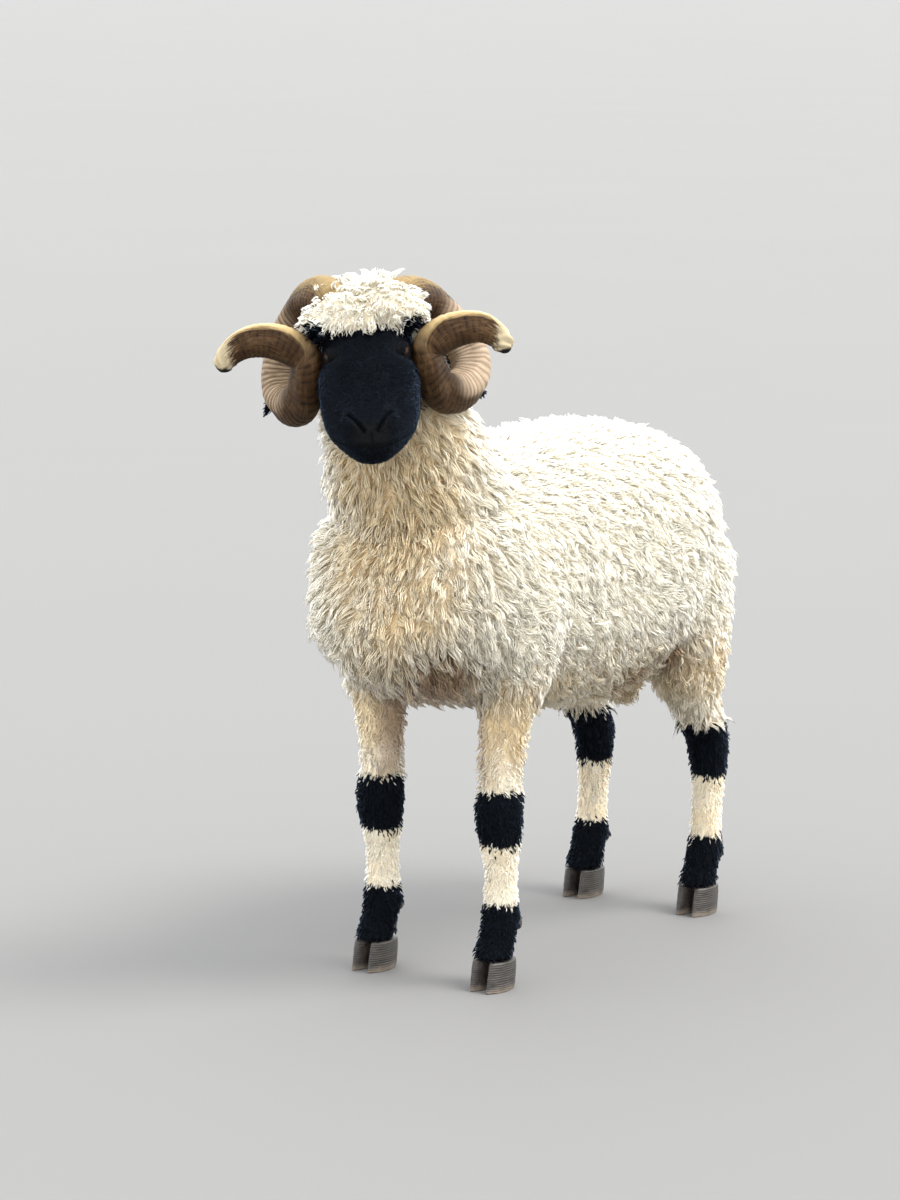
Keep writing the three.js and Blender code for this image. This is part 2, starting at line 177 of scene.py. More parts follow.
# Each flesh node's depth of wool, in millimetres.
WOOL_DEPTH = {"trunk": 15, "neck": 15, "head": 3, "topknot": 4, "tail": 13, "pouch": 11}
SIDE_DEPTH = {
    "ear_{}": 1.0, "foreleg_{}_arm": 10, "foreleg_{}_knee": 5, "foreleg_{}_shank": 4,
    "foreleg_{}_pastern": 3.5, "hindleg_{}_thigh": 13, "hindleg_{}_hock": 5,
    "hindleg_{}_shank": 4, "hindleg_{}_pastern": 3.5,
}
for side, (name, depth) in itertools.product(SIDES, SIDE_DEPTH.items()):
    WOOL_DEPTH[name.format(side)] = depth
flesh_names = list(WOOL_DEPTH)
FLESH_SWELL = 1 * MM
TOPKNOT_SHRINK = 0.89
HORN_ROOT = (0.034, -0.066, -0.022)
HORN_ROOT_RADIUS = 0.034
ROUNDING_PASSES = 14
DEPTH_PASSES = 12
BODY_FACES_KEPT = 0.3

# All flesh nodes, a little swollen so that they run into each other. The eyes fill their
# sockets, so that the hide runs on over them and can be opened as lids.
to_head = head_place.inverted()
flesh = bmesh.new()
outer_points, outer_faces, outer_owner = [], [], []
for index, name in enumerate(flesh_names + [f"eye_{side}" for side in SIDES]):
    part = bmesh.new()
    part.from_mesh(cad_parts[name].data)
    bmesh.ops.remove_doubles(part, verts=part.verts, dist=1e-5)
    part.normal_update()
    if name in WOOL_DEPTH:
        start = len(outer_points)
        outer_points.extend(v.co.copy() for v in part.verts)
        for face in part.faces:
            outer_faces.append([start + v.index for v in face.verts])
            outer_owner.append(index)
    for v in part.verts:
        v.co += v.normal * FLESH_SWELL
    if name == "topknot":
        # The wool is deepest here, so the hide's cushion under it is much smaller.
        for v in part.verts:
            at = to_head @ v.co / MM
            bow = (at.x / 80) ** 2
            core = Vector((at.x * 0.86, -56 - 20 * bow, -22 - 16 * bow))
            v.co = head_place @ ((core + (at - core) * TOPKNOT_SHRINK) * MM)
    swollen = bpy.data.meshes.new(name + "_swollen")
    part.to_mesh(swollen)
    part.free()
    flesh.from_mesh(swollen)
    bpy.data.meshes.remove(swollen)
# The hide swells up round the root of each horn, and carries its wool over it.
for side_sign in SIDES.values():
    root = Matrix.Translation((side_sign * HORN_ROOT[0], *HORN_ROOT[1:]))
    bmesh.ops.create_uvsphere(
        flesh, u_segments=24, v_segments=16, radius=HORN_ROOT_RADIUS, matrix=head_place @ root)
outer_shape = BVHTree.FromPolygons(outer_points, outer_faces)
outer_owner = np.array(outer_owner)

skin_mesh = bpy.data.meshes.new("skin")
flesh.to_mesh(skin_mesh)
flesh.free()
skin = new_piece("skin", skin_mesh)


def make_active(piece):
    bpy.ops.object.select_all(action="DESELECT")
    piece.select_set(True)
    bpy.context.view_layer.objects.active = piece


def finish_with(piece, kind, **settings):
    """Adds one modifier and applies it."""
    make_active(piece)
    modifier = piece.modifiers.new(kind.lower(), kind)
    for key, value in settings.items():
        setattr(modifier, key, value)
    bpy.ops.object.modifier_apply(modifier=modifier.name)


finish_with(skin, "REMESH", mode="VOXEL", voxel_size=HIDE_GRAIN)


def owners(points):
    """The CAD node that each point is nearest to, as an index into flesh_names."""
    found = [outer_shape.find_nearest(Vector(p))[2] for p in points]
    return outer_owner[np.array(found)]


def by_name(rule):
    """What a rule says of each flesh node's name, as one row."""
    return np.array([rule(name) for name in flesh_names])


# The folds between the parts are rounded, more on the body than on the thin parts.
points = read_points(skin.data)
edges = read_rows(skin.data.edges, "vertices", 2)
owner = owners(points)
thin = by_name(lambda name: name.startswith("ear"))[owner].astype(float)
fine = by_name(lambda name: name == "head" or "leg" in name)[owner].astype(float)
rounding = spread(1 - 0.75 * thin - 0.35 * fine * (1 - thin), edges, 4)
points = ease(points, edges, rounding, ROUNDING_PASSES)
write_points(skin.data, points)

# Then the surface is drawn in by the wool's depth.
depth = by_name(WOOL_DEPTH.get)[owner] * MM
depth = spread(depth, edges, DEPTH_PASSES)
face_points = in_face(points)
muzzle = ramp(-face_points[:, 1], 160, 240) * (np.abs(face_points[:, 0]) < 100)
muzzle *= by_name(lambda name: name == "head")[owner]
depth *= 1 - 0.6 * muzzle
depth = np.where(thin > 0.5, MM, depth)
normals = read_points(skin.data, "normal")
write_points(skin.data, points - normals * depth[:, None])

# The body has less detail than the head and the feet, so it takes larger faces.
group = skin.vertex_groups.new(name="body")
plain = by_name(lambda name: name.endswith(("trunk", "neck", "tail", "pouch", "thigh", "arm")))
group.add(np.flatnonzero(plain[owner]).tolist(), 1.0, "REPLACE")
finish_with(skin, "DECIMATE", ratio=BODY_FACES_KEPT, vertex_group="body")
skin.vertex_groups.clear()

# The face is divided more finely, and shaped.
body_mesh = bmesh.new()
body_mesh.from_mesh(skin.data)
to_face = face_place.inverted()


def on_face(v, start):
    at = to_face @ v.co
    return at.y < -start and abs(at.x) < 0.085 and -0.1 < at.z < 0.07


def at_nose_or_eye(v):
    at = to_face @ v.co
    by_eye = abs(abs(at.x) - 0.052) < 0.028 and abs(at.y + 0.107) < 0.036 and at.z > 0
    return at.y < -0.225 or by_eye


# The whole face once, then the nose and the surroundings of the eyes once more
for start, wanted in ((0.035, lambda v: True), (0.068, at_nose_or_eye)):
    lines = [
        e for e in body_mesh.edges
        if all(on_face(v, start) for v in e.verts) and wanted(e.verts[0])
    ]
    bmesh.ops.subdivide_edges(body_mesh, edges=lines, cuts=1, smooth=0.4)
bmesh.ops.triangulate(body_mesh, faces=[f for f in body_mesh.faces if len(f.verts) > 4])
body_mesh.to_mesh(skin.data)
body_mesh.free()

EYE_RADIUS = 14 * MM
EYE_MIDDLE = {side: Vector((sign * 0.046, -0.107, 0.030)) for side, sign in SIDES.items()}
EYE_LOOK = {side: Vector((sign * 0.82, -0.48, 0.30)).normalized() for side, sign in SIDES.items()}

points = in_face(read_points(skin.data))
edges = read_rows(skin.data.edges, "vertices", 2)
on_head = (points[:, 1] < -20) & (np.abs(points[:, 0]) < 90)
on_head &= (points[:, 2] < 80) & (points[:, 2] > -105)
points = ease(points, edges, on_head, 3)
across, down, high = np.abs(points[:, 0]), -points[:, 1], points[:, 2]
MIDDLE_LINE = -8.0  # the height along the face that its surface is pushed away from
outward = unit(points - table(0, points[:, 1], MIDDLE_LINE))


def push(rise):
    """Moves the face's surface outwards, in millimetres."""
    points[:] += outward * (rise * on_head)[:, None]


# Swells and hollows, on both sides: a place across, down and up the face, its reach and rise
FACE_RELIEF = [
    (46, 88, 50, (16, 22, 12), 5),  # the brow over each eye
    (58, 124, -4, (14, 28, 12), 3),  # the cheekbone below the eye
    (58, 112, -52, (18, 34, 26), 4),  # the chewing muscle
    (58, 164, -10, (16, 22, 18), -3),  # the hollow in front of it
    (0, 150, 50, (24, 60, 20), 4),  # the arched bridge of the nose
    (34, 160, 34, (12, 40, 14), -3),  # and the slope beside it
    (46, 136, 18, (9, 13, 10), -2),  # the tear pit before the eye
    (27, 230, 32, (10, 15, 14), 5),  # the wing of each nostril
    (26, 246, 6, (15, 16, 10), 4),  # the swell of the upper lip
    (0, 226, 40, (12, 22, 14), -2),  # the flat end of the nose
    (0, 248, -22, (22, 18, 12), 4),  # the chin
    (0, 216, -46, (26, 14, 14), -3),  # and the groove behind it
]
push(sum(
    rise * bump(across, side, reach[0]) * bump(down, along, reach[1]) * bump(high, up, reach[2])
    for side, along, up, reach, rise in FACE_RELIEF
))

# The mouth is a shut line round the muzzle, lower at the back.
lip_height = 9 - 25 * ramp(266 - down, 0, 62)
lip_depth = bump(high, lip_height, 2.4) * ramp(down, 200, 214)
push(-4.2 * lip_depth)
lip_swell = bump(high, lip_height + 6, 4.5) + 0.8 * bump(high, lip_height - 6.5, 5)
push(1.6 * lip_swell * ramp(down, 202, 228))

# The nostrils are slanting slits whose upper ends curl outwards.
slit_share = np.clip((247 - down) / 24, 0, 1)
slit_side = 10 + 18 * slit_share**1.2
on_top = ramp(high, 8, 14)
slit = bump(across, slit_side, 3.0) * ramp(down, 218, 226) * ramp(-down, -252, -244) * on_top
push(-8.0 * slit)
slit_rim = bump(across, slit_side + 7, 3.6) + 0.5 * bump(across, slit_side - 5.5, 3)
slit_rim *= ramp(down, 216, 228) * ramp(-down, -256, -244) * on_top
push(2.2 * slit_rim)

# A groove runs from between the nostrils to the lip.
cleft = bump(across, 0, 1.9) * ramp(down, 244, 254) * ramp(high, 8, 12)
push(-2.6 * cleft)

# The lids lie on the eyeball, and open in an almond that slants down towards the nose.
LID_SLANT = math.radians(14)
LID_HALF_LENGTH = 11.5
LID_OPENING = (4.6, 4.0)  # above and below the slit's middle
LID_REACH = 14.6  # from the eyeball's middle to the lid
SOCKET_REACH = 11.0  # and to the hide inside the opening
for side, side_sign in SIDES.items():
    offset = points - np.array(EYE_MIDDLE[side]) / MM
    gap = np.linalg.norm(offset, axis=1)
    facing = offset @ np.array(EYE_LOOK[side]) / np.maximum(gap, 1e-6)
    # Along the eye slit and across it
    level_way = Vector((0, 0, 1)).cross(EYE_LOOK[side]).normalized()
    to_nose = offset @ np.array(level_way) * -side_sign
    upward = offset @ np.array(EYE_LOOK[side].cross(level_way))
    along = to_nose * math.cos(LID_SLANT) - upward * math.sin(LID_SLANT)
    above = upward * math.cos(LID_SLANT) + to_nose * math.sin(LID_SLANT)
    reach = np.clip(1 - (along / LID_HALF_LENGTH) ** 2, 0, 1)
    opening = np.abs(above) - np.where(above > 0, *LID_OPENING) * reach
    near = ramp(-gap, -27, -19) * ramp(facing, 0.0, 0.3)
    shut = ramp(opening, -0.6, 1.0)
    rolled = 2.4 * bump(opening, 1.8, 2.4) + 1.0 * bump(opening, 8, 2.6)
    lid = LID_REACH + rolled - 0.8 * bump(opening, 5.2, 1.6)
    wanted = shut * np.maximum(lid, LID_REACH - 0.2) + (1 - shut) * SOCKET_REACH
    blend = near * ramp(-gap, -24, -17)
    target = offset / np.maximum(gap, 1e-6)[:, None] * wanted[:, None]
    points += (target - offset) * blend[:, None]

write_points(skin.data, moved(points * MM, face_place))


def face_outwards(piece):
    make_active(piece)
    bpy.ops.object.mode_set(mode="EDIT")
    bpy.ops.mesh.select_all(action="SELECT")
    bpy.ops.mesh.normals_make_consistent(inside=False)
    bpy.ops.object.mode_set(mode="OBJECT")


face_outwards(skin)
skin.data.shade_smooth()

BLACK_PARTS = ("head", "ear", "knee", "hock", "pastern")
FRINGE_ROOTS = 46  # how far down the face the poll's wool has roots
FRINGE_HEIGHT = -47  # of the cushion's lower edge, in the head's frame
BROW_SPOT = (66, -82, -50)
BROW_REACH = (17, 38, 17)


def parts_named(owner, words):
    """Whether each point's node has one of these words in its name."""
    return by_name(lambda name: any(word in name for word in words))[owner]


def on_forehead(points):
    """Whether the poll's wool covers the skull at these points. It reaches lower on the right."""
    x, y, z = in_face(points).T
    edge = FRINGE_ROOTS - 0.12 * x - 18 * ramp(np.abs(x), 34, 56)
    return (-y < edge) & (z > 14)


def on_brow(points):
    """Whether points lie on the tufts of black hair between the fringe and each horn."""
    x, y, z = in_head(points).T
    return (((table(np.abs(x), y, z) - BROW_SPOT) / BROW_REACH) ** 2).sum(1) < 1


def below_fringe(points):
    """Whether points are on the underside of the poll's cushion, where the black begins."""
    x, y, z = in_head(points).T
    return (z < FRINGE_HEIGHT - 0.05 * x) & (y < -58)


def near_eyes(local):
    """The gap from points, in millimetres in the face's frame, to the nearer eye's middle."""
    return np.minimum(*(
        np.linalg.norm(local - np.array(EYE_MIDDLE[side]) / MM, axis=1) for side in SIDES))


# Stains in the wool, and brownish spots of painted shade, in the row frame in metres: strength,
# middle and reach of each
SANDY_STAINS = [
    (0.95, (0.035, -0.34, 0.66), (0.125, 0.16, 0.17)),
    (0.75, (0.035, -0.37, 0.82), (0.085, 0.14, 0.12)),
]
# Painted shade, brownish: where the brisket meets the left foreleg, and low on each side before
# and on the thigh, under the overhanging wool.
BROWN_SHADE_SPOTS = [(0.75, (0.09, -0.30, 0.47), (0.09, 0.10, 0.07))]
for side_sign in SIDES.values():
    BROWN_SHADE_SPOTS += [
        (0.7, (side_sign * 0.15, 0.235, 0.44), (0.09, 0.085, 0.06)),
        (0.55, (side_sign * 0.14, 0.11, 0.40), (0.08, 0.09, 0.045)),
    ]


def stains(points, spots):
    """The strength of each spot at the points: sandy stains and brownish painted shade."""
    return [
        strength * np.exp(-(((points - middle) / reach) ** 2).sum(1))
        for strength, middle, reach in spots
    ]


def markings(points, ragged, seed):
    """The ram's colours at each point: share of black, sandy stain, brownish painted shade and
    bare pinkish skin in painted shade.

    The black face, ears, knees, hocks and feet have edges that are ragged by that much.
    """
    chance = np.random.default_rng(seed)
    shifted = points + chance.normal(0, 1, points.shape) * ragged
    shifted += np.stack([soft_noise(points, 0.02, seed + k) for k in range(3)], 1) * ragged
    owner = owners(shifted)
    black = parts_named(owner, BLACK_PARTS).astype(float)
    local = in_face(shifted)
    # The black starts below the fringe and stops behind the cheeks.
    back_edge = 22 + 34 * ramp(-local[:, 2], 20, 75)
    woolly = on_forehead(shifted) | (-local[:, 1] < back_edge)
    black = np.where(parts_named(owner, ["head"]) & woolly, 0, black)
    black = np.where(parts_named(owner, ["topknot"]) & below_fringe(shifted), 1, black)
    black = np.where(on_brow(shifted), 1, black)
    x, y, z = points.T
    mottle = soft_noise(points, 0.07, 11) * 0.35 + soft_noise(points, 0.022, 12) * 0.3
    breast, throat = stains(points, SANDY_STAINS)
    sandy = breast * ramp(-y, 0.16, 0.36) + throat
    sandy += 0.65 * ramp(-z, -0.54, -0.38) * (1 - 0.6 * ramp(-z, -0.37, -0.31))
    sandy += 0.25 * ramp(y, 0.36, 0.5)
    sandy = np.clip(sandy * (1 + mottle) + 0.10 * mottle, 0, 1)
    brown_shade = sum(stains(points, BROWN_SHADE_SPOTS))
    # Brownish painted shade also lies low on the body, along the underside of the belly.
    brown_shade += 0.35 * ramp(-z, -0.42, -0.34) * ramp(z, 0.24, 0.32)
    brown_shade = np.clip(brown_shade * (1 + 1.3 * mottle), 0, 1)
    # The inner sides of the forelegs are bare pinkish skin, darkened as painted shade.
    inner = ramp(0.103 - np.abs(x), 0, 0.02) * ramp(z, 0.29, 0.33) * ramp(-z, -0.5, -0.42)
    pink_in_shade = np.clip(inner * ramp(-y, 0.1, 0.14) * (0.9 + mottle), 0, 1)
    return table(black, sandy, brown_shade, pink_in_shade)


def store(mesh, name, rows):
    """Keeps four numbers for each point of a mesh, which its material reads."""
    layer = mesh.attributes.new(name, "FLOAT_COLOR", "POINT")
    layer.data.foreach_set("color", rows.astype(np.float32).ravel())


points = read_points(skin.data)
store(skin.data, "marks", markings(points, 1.2 * MM, 5))


def bare_nose(local, top, half_width):
    """How bare the nose is at points in the face's frame, from its top in to the nostrils."""
    x, y, z = local.T
    return ramp(-y, top, top + 12) * ramp(z, 5, 12) * ramp(-np.abs(x), -half_width, -22)


# The nose and the edges of the lids are bare.
local = in_face(points)
bare = np.maximum(bare_nose(local, 228, 32), ramp(-near_eyes(local), -21, -16))
store(skin.data, "hide", table(bare, 0, 0, 1))


class Shade:
    """A shader socket that can be added to, multiplied and mixed as a number is."""

    def __init__(self, tree, socket):
        self.tree = tree
        self.socket = socket

    def node(self, kind, settings=None, **inputs):
        """A new node. Its inputs are given by name, or as i0, i1 and so on by number."""
        made = self.tree.nodes.new(kind)
        for key, value in (settings or {}).items():
            setattr(made, key, value)
        for key, value in inputs.items():
            slot = made.inputs[int(key[1:])] if key[0] == "i" and key[1:].isdigit() else None
            slot = slot or made.inputs[key.replace("_", " ")]
            if isinstance(value, Shade):
                self.tree.links.new(value.socket, slot)
            else:
                slot.default_value = value
        return made

    def out(self, made, name=0):
        return Shade(self.tree, made.outputs[name])

    def sum(self, operation, *values):
        inputs = {f"i{i}": value for i, value in enumerate(values)}
        return self.out(self.node("ShaderNodeMath", {"operation": operation}, **inputs))

    def __add__(self, other):
        return self.sum("ADD", self, other)

    def __sub__(self, other):
        return self.sum("SUBTRACT", self, other)

    def __rsub__(self, other):
        return self.sum("SUBTRACT", other, self)

    def __mul__(self, other):
        return self.sum("MULTIPLY", self, other)

    __radd__ = __add__
    __rmul__ = __mul__

    def between(self, start, end):
        """0 before start and 1 after end."""
        settings = {"interpolation_type": "SMOOTHSTEP"}
        made = self.node("ShaderNodeMapRange", settings, Value=self, i1=start, i2=end)
        return self.out(made)

    def colour(self, low, high):
        """From the low colour to the high one, by this share."""
        made = self.node("ShaderNodeMix", {"data_type": "RGBA"}, i0=self, i6=low, i7=high)
        return self.out(made, 2)

    def attribute(self, name):
        settings = {"attribute_name": name}
        return self.out(self.node("ShaderNodeAttribute", settings), "Color")

    def parts(self):
        made = self.node("ShaderNodeSeparateColor", Color=self)
        return [self.out(made, index) for index in range(3)]

    def place(self):
        return self.out(self.node("ShaderNodeTexCoord"), "Object")

    def noise(self, scale, detail=3.0, roughness=0.55, where=None):
        made = self.node(
            "ShaderNodeTexNoise", Vector=where or self.place(), Scale=scale,
            Detail=detail, Roughness=roughness,
        )
        return self.out(made, 0)

    def relief(self, height, distance, strength=1.0):
        made = self.node(
            "ShaderNodeBump", Height=height, Distance=distance, Strength=strength,
        )
        return self.out(made)


def new_material(name, **fixed):
    """A material, its shader and a start for its expressions. Fixed values go on the shader."""
    material = bpy.data.materials.new(name)
    material.use_nodes = True
    shader = material.node_tree.nodes["Principled BSDF"]
    for key, value in fixed.items():
        shader.inputs[key.replace("_", " ")].default_value = value
    return material, shader, Shade(material.node_tree, None)


def connect(shade, value, shader, name):
    shade.tree.links.new(value.socket, shader.inputs[name])


CLEAN_WOOL = (0.960, 0.908, 0.768, 1)
SANDY_WOOL = (0.88, 0.69, 0.415, 1)
# The brown below is painted shade under the body.
BROWN_PAINTED_SHADE = (0.27, 0.175, 0.105, 1)
# The pink below is bare skin darkened as painted shade.
PINK_HIDE_IN_SHADE = (0.42, 0.29, 0.21, 1)
BLACK_WOOL = (0.0015, 0.0022, 0.0036, 1)
BLACK_SHEEN = (0.0050, 0.0072, 0.0115, 1)
NOSE_BLACK = (0.0022, 0.0026, 0.0034, 1)


def wool_colour(shade, deep):
    """The coat's colour from its markings. deep is 1 down at the hide and 0 at the tips."""
    marks = shade.attribute("marks")
    black, sandy, brown_shade = marks.parts()
    pink_in_shade = shade.out(marks.socket.node, "Alpha")
    cloud = shade.noise(38.0, 4.0, 0.6)
    fine_cloud = shade.noise(300.0, 2.0, 0.6)
    sandy = (sandy + (cloud - 0.5) * 0.35 + deep * 0.22).between(0.05, 0.95)
    light = sandy.colour(CLEAN_WOOL, SANDY_WOOL)
    # Brownish painted shade low on the body.
    light = (brown_shade + (cloud - 0.5) * 0.5).between(0.15, 0.95).colour(light, BROWN_PAINTED_SHADE)
    # The bare inner sides of the forelegs: pinkish skin, darkened as painted shade.
    light = (pink_in_shade * 0.75).colour(light, PINK_HIDE_IN_SHADE)
    dark = fine_cloud.between(0.3, 0.8).colour(BLACK_WOOL, BLACK_SHEEN)
    return black.colour(light, dark)


skin_material, shader, shade = new_material("hide", Specular_IOR_Level=0.06)
bare_share = shade.attribute("hide").parts()[0]
deep_wool = shade.noise(500.0, 2.0).between(0.2, 0.9) * 0.5 + 0.5
hide_colour = wool_colour(shade, deep_wool)
hide_colour = bare_share.colour(hide_colour, NOSE_BLACK)
connect(shade, hide_colour, shader, "Base Color")
connect(shade, 0.92 - bare_share * 0.30, shader, "Roughness")
pores = shade.noise(900.0, 3.0, 0.6) + shade.noise(300.0, 3.0, 0.6) * 1.8
connect(shade, shade.relief(pores, 0.0022, 1.0), shader, "Normal")
skin.data.materials.append(skin_material)
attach(skin, "root")
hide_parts(*flesh_names)


# ---------------------------------------------------------------- the horns
# Each horn is a hollow sheath of keratin that grows from a bony core. It coils back and
# down beside the cheek and flares to the side as a blade, ringed by its growth. Its coil
# is lofted row by row, because the rings follow it.

HORN_AXIS = (-27.0, -83.0)  # the coil's axis in the head's frame: y and z, in millimetres
HORN_ANGLES = (-40, 272)
HORN_OVAL = 0.82
HORN_COILS = {
    "left": {
        "reach": (68, 67),
        "places": [36, 53, 78, 104, 127, 141, 137, 116, 94, 84, 83],
        "flare": [(105, 80, -65), (134, 77, -58), (160, 71, -60), (182, 66, -75), (195, 63, -97)],
    },
    "right": {
        "reach": (80, 64),
        "places": [36, 52, 74, 97, 116, 126, 124, 110, 93, 85, 85],
        "flare": [(108, 80, -63), (138, 77, -54), (168, 71, -57), (192, 66, -72), (205, 63, -93)],
    },
}
HORN_THICKNESS = (31, 28, 11)  # radius at the base, at the last bend and at the tip
HORN_BEND = 0.62
BLADE_START, BLADE_END = 0.62, 0.86
BLADE_RIM = np.array([0, -0.2, 1.0])


def smooth_line(stations, count):
    """Evenly spaced points and directions on a smooth curve through the stations."""
    stations = np.array(stations, float)
    ends = [2 * stations[0] - stations[1]], [2 * stations[-1] - stations[-2]]
    stations = np.concatenate([ends[0], stations, ends[1]])
    line = []
    for i in range(len(stations) - 3):
        a, b, c, d = stations[i:i + 4]
        gaps = [math.sqrt(np.linalg.norm(q - p)) for p, q in ((a, b), (b, c), (c, d))]
        leave = (b - a) / gaps[0] - (c - a) / (gaps[0] + gaps[1]) + (c - b) / gaps[1]
        arrive = (c - b) / gaps[1] - (d - b) / (gaps[1] + gaps[2]) + (d - c) / gaps[2]
        t = np.linspace(0, 1, 60, endpoint=False)[:, None]
        line.append(
            (2 * t**3 - 3 * t**2 + 1) * b + (3 * t**2 - 2 * t**3) * c
            + gaps[1] * ((t**3 - 2 * t**2 + t) * leave + (t**3 - t**2) * arrive)
        )
    line = np.concatenate(line + [stations[-2:-1]])
    length = np.concatenate([[0], np.cumsum(np.linalg.norm(np.diff(line, axis=0), axis=1))])
    even = np.linspace(0, length[-1], count)
    points = np.stack([np.interp(even, length, line[:, k]) for k in range(3)], 1)
    return points, unit(np.gradient(points, axis=0)), length[-1]


def horn_line(side, count):
    """The middle of a horn, in millimetres in the head's frame."""
    coil = HORN_COILS[side]
    stations = []
    for share, place in zip(np.linspace(0, 1, 11), coil["places"]):
        angle = math.radians(HORN_ANGLES[0] + (HORN_ANGLES[1] - HORN_ANGLES[0]) * share)
        reach = coil["reach"][0] + (coil["reach"][1] - coil["reach"][0]) * share
        back = HORN_AXIS[0] + HORN_OVAL * reach * math.sin(angle)
        stations.append((SIDES[side] * place, back, HORN_AXIS[1] + reach * math.cos(angle)))
    stations += [(SIDES[side] * place, -forward, up) for place, forward, up in coil["flare"]]
    return smooth_line(stations, count)


def horn_thickness(share):
    base, bend, tip = HORN_THICKNESS
    rest = np.clip((share - HORN_BEND) / (1 - HORN_BEND), 0, 1)
    early = base + (bend - base) * np.clip(share / HORN_BEND, 0, 1)
    return np.where(share < HORN_BEND, early, bend + (tip - bend) * rest**3)


def closed_tube(name, loops):
    """A closed mesh of loops, an array of loop by point by place, with domed ends."""
    rows, around = loops.shape[:2]
    grid = np.arange(rows * around).reshape(rows, around)
    quads = np.stack([
        grid[:-1], np.roll(grid[:-1], -1, 1), np.roll(grid[1:], -1, 1), grid[1:],
    ], -1).reshape(-1, 4)
    tips = rows * around, rows * around + 1
    first = [(tips[0], b, a) for a, b in zip(grid[0], np.roll(grid[0], -1))]
    final = [(tips[1], a, b) for a, b in zip(grid[-1], np.roll(grid[-1], -1))]
    points = np.concatenate([loops.reshape(-1, 3), loops[[0, -1]].mean(1)])
    mesh = bpy.data.meshes.new(name)
    mesh.from_pydata(points.tolist(), [], quads.tolist() + first + final)
    piece = new_piece(name, mesh)
    face_outwards(piece)
    mesh.shade_smooth()
    return piece


HORN_BROWN = (0.035, 0.0166, 0.0058, 1)
HORN_DARK = (0.0085, 0.0045, 0.0022, 1)
HORN_TAN = (0.106, 0.060, 0.026, 1)
HORN_STRAW = (0.420, 0.305, 0.140, 1)
HORN_INNER = (0.130, 0.085, 0.052, 1)
HORN_RIDGE = (0.330, 0.245, 0.160, 1)
HORN_CREAM = (0.480, 0.400, 0.260, 1)
HORN_PAINTED_LIGHT = (0.720, 0.580, 0.440, 1)
HORN_BLACK = (0.006, 0.005, 0.005, 1)

horn_material, shader, shade = new_material("horn", Specular_IOR_Level=0.12)
growth = shade.attribute("growth")
keel, along, ring = growth.parts()
painted_light_horn = shade.out(growth.socket.node, "Alpha")
fibre_way = shade.attribute("fibre")
streak = shade.noise(420.0, 4.0, 0.7, where=fibre_way)
patch = shade.noise(38.0, 3.0, 0.6)
grain = shade.noise(1100.0, 2.0, 0.6)
groove = (ring + (streak - 0.5) * 0.6).between(0.22, 0.75)
colour = groove.colour(HORN_DARK, HORN_BROWN)
pale = (streak + patch - 0.85).between(0.05, 0.55)
colour = (pale * 0.85).colour(colour, HORN_TAN)
# The top of the first bend and of the blade is lighter, the colour of straw.
straw_top = (keel + (streak - 0.5) * 0.8).between(0.66, 1.0) * 0.5
colour = (straw_top * (1 - along.between(0.16, 0.30))).colour(colour, HORN_STRAW)
hollow = (1 - keel + (patch - 0.5) * 0.3).between(0.26, 0.52)
hollow = hollow * along.between(0.16, 0.26) * (1 - along.between(0.50, 0.60))
inside = (ring + (grain - 0.5) * 0.25).between(0.45, 0.95).colour(HORN_INNER, HORN_RIDGE)
# Painted light: the inside of the ram's left horn is made lighter, as if lit.
inside = (painted_light_horn * 0.18).colour(inside, HORN_PAINTED_LIGHT)
colour = hollow.colour(colour, inside)
blade = along.between(0.72, 0.82)
rim = (keel + (streak - 0.5) * 0.16).between(0.90, 0.985) * blade
colour = (rim * 0.9).colour(colour, HORN_STRAW)
rim = (keel + (streak - 0.5) * 0.12).between(0.965, 1.0) * along.between(0.76, 0.88)
colour = (rim * 0.8).colour(colour, HORN_CREAM)
tip = (along + (streak - 0.5) * 0.10 + (keel - 0.5) * 0.05).between(0.93, 0.97)
colour = (tip * 0.9).colour(colour, HORN_CREAM)
broken = (along + (patch - 0.5) * 0.06 - keel * 0.012).between(0.972, 0.984)
colour = broken.colour(colour, HORN_BLACK)
connect(shade, colour, shader, "Base Color")
connect(shade, 0.60 - ring * 0.12 + (grain - 0.5) * 0.15, shader, "Roughness")
connect(shade, shade.relief(streak * 1.5 + grain * 0.5, 0.0008, 0.8), shader, "Normal")

HORN_STEPS = 400
HORN_AROUND = 44
BROAD_RING, NARROW_RING = 8.6, 2.9  # the gaps between growth rings, in millimetres
HORN_ROOT_END, HORN_TIP_START = 0.05, 0.965  # where the rounding of its two ends stops
COIL_OVAL, BLADE_OVAL = 0.94, 0.60  # width over depth
FIBRE_DRAW = 0.09  # fibres run along the horn, so their pattern is drawn out that way


def noise_round(size, seed, *place):
    """Soft noise at places given for every point of every loop of a horn."""
    return soft_noise(table(*place).reshape(-1, 3), size, seed).reshape(-1, HORN_AROUND)


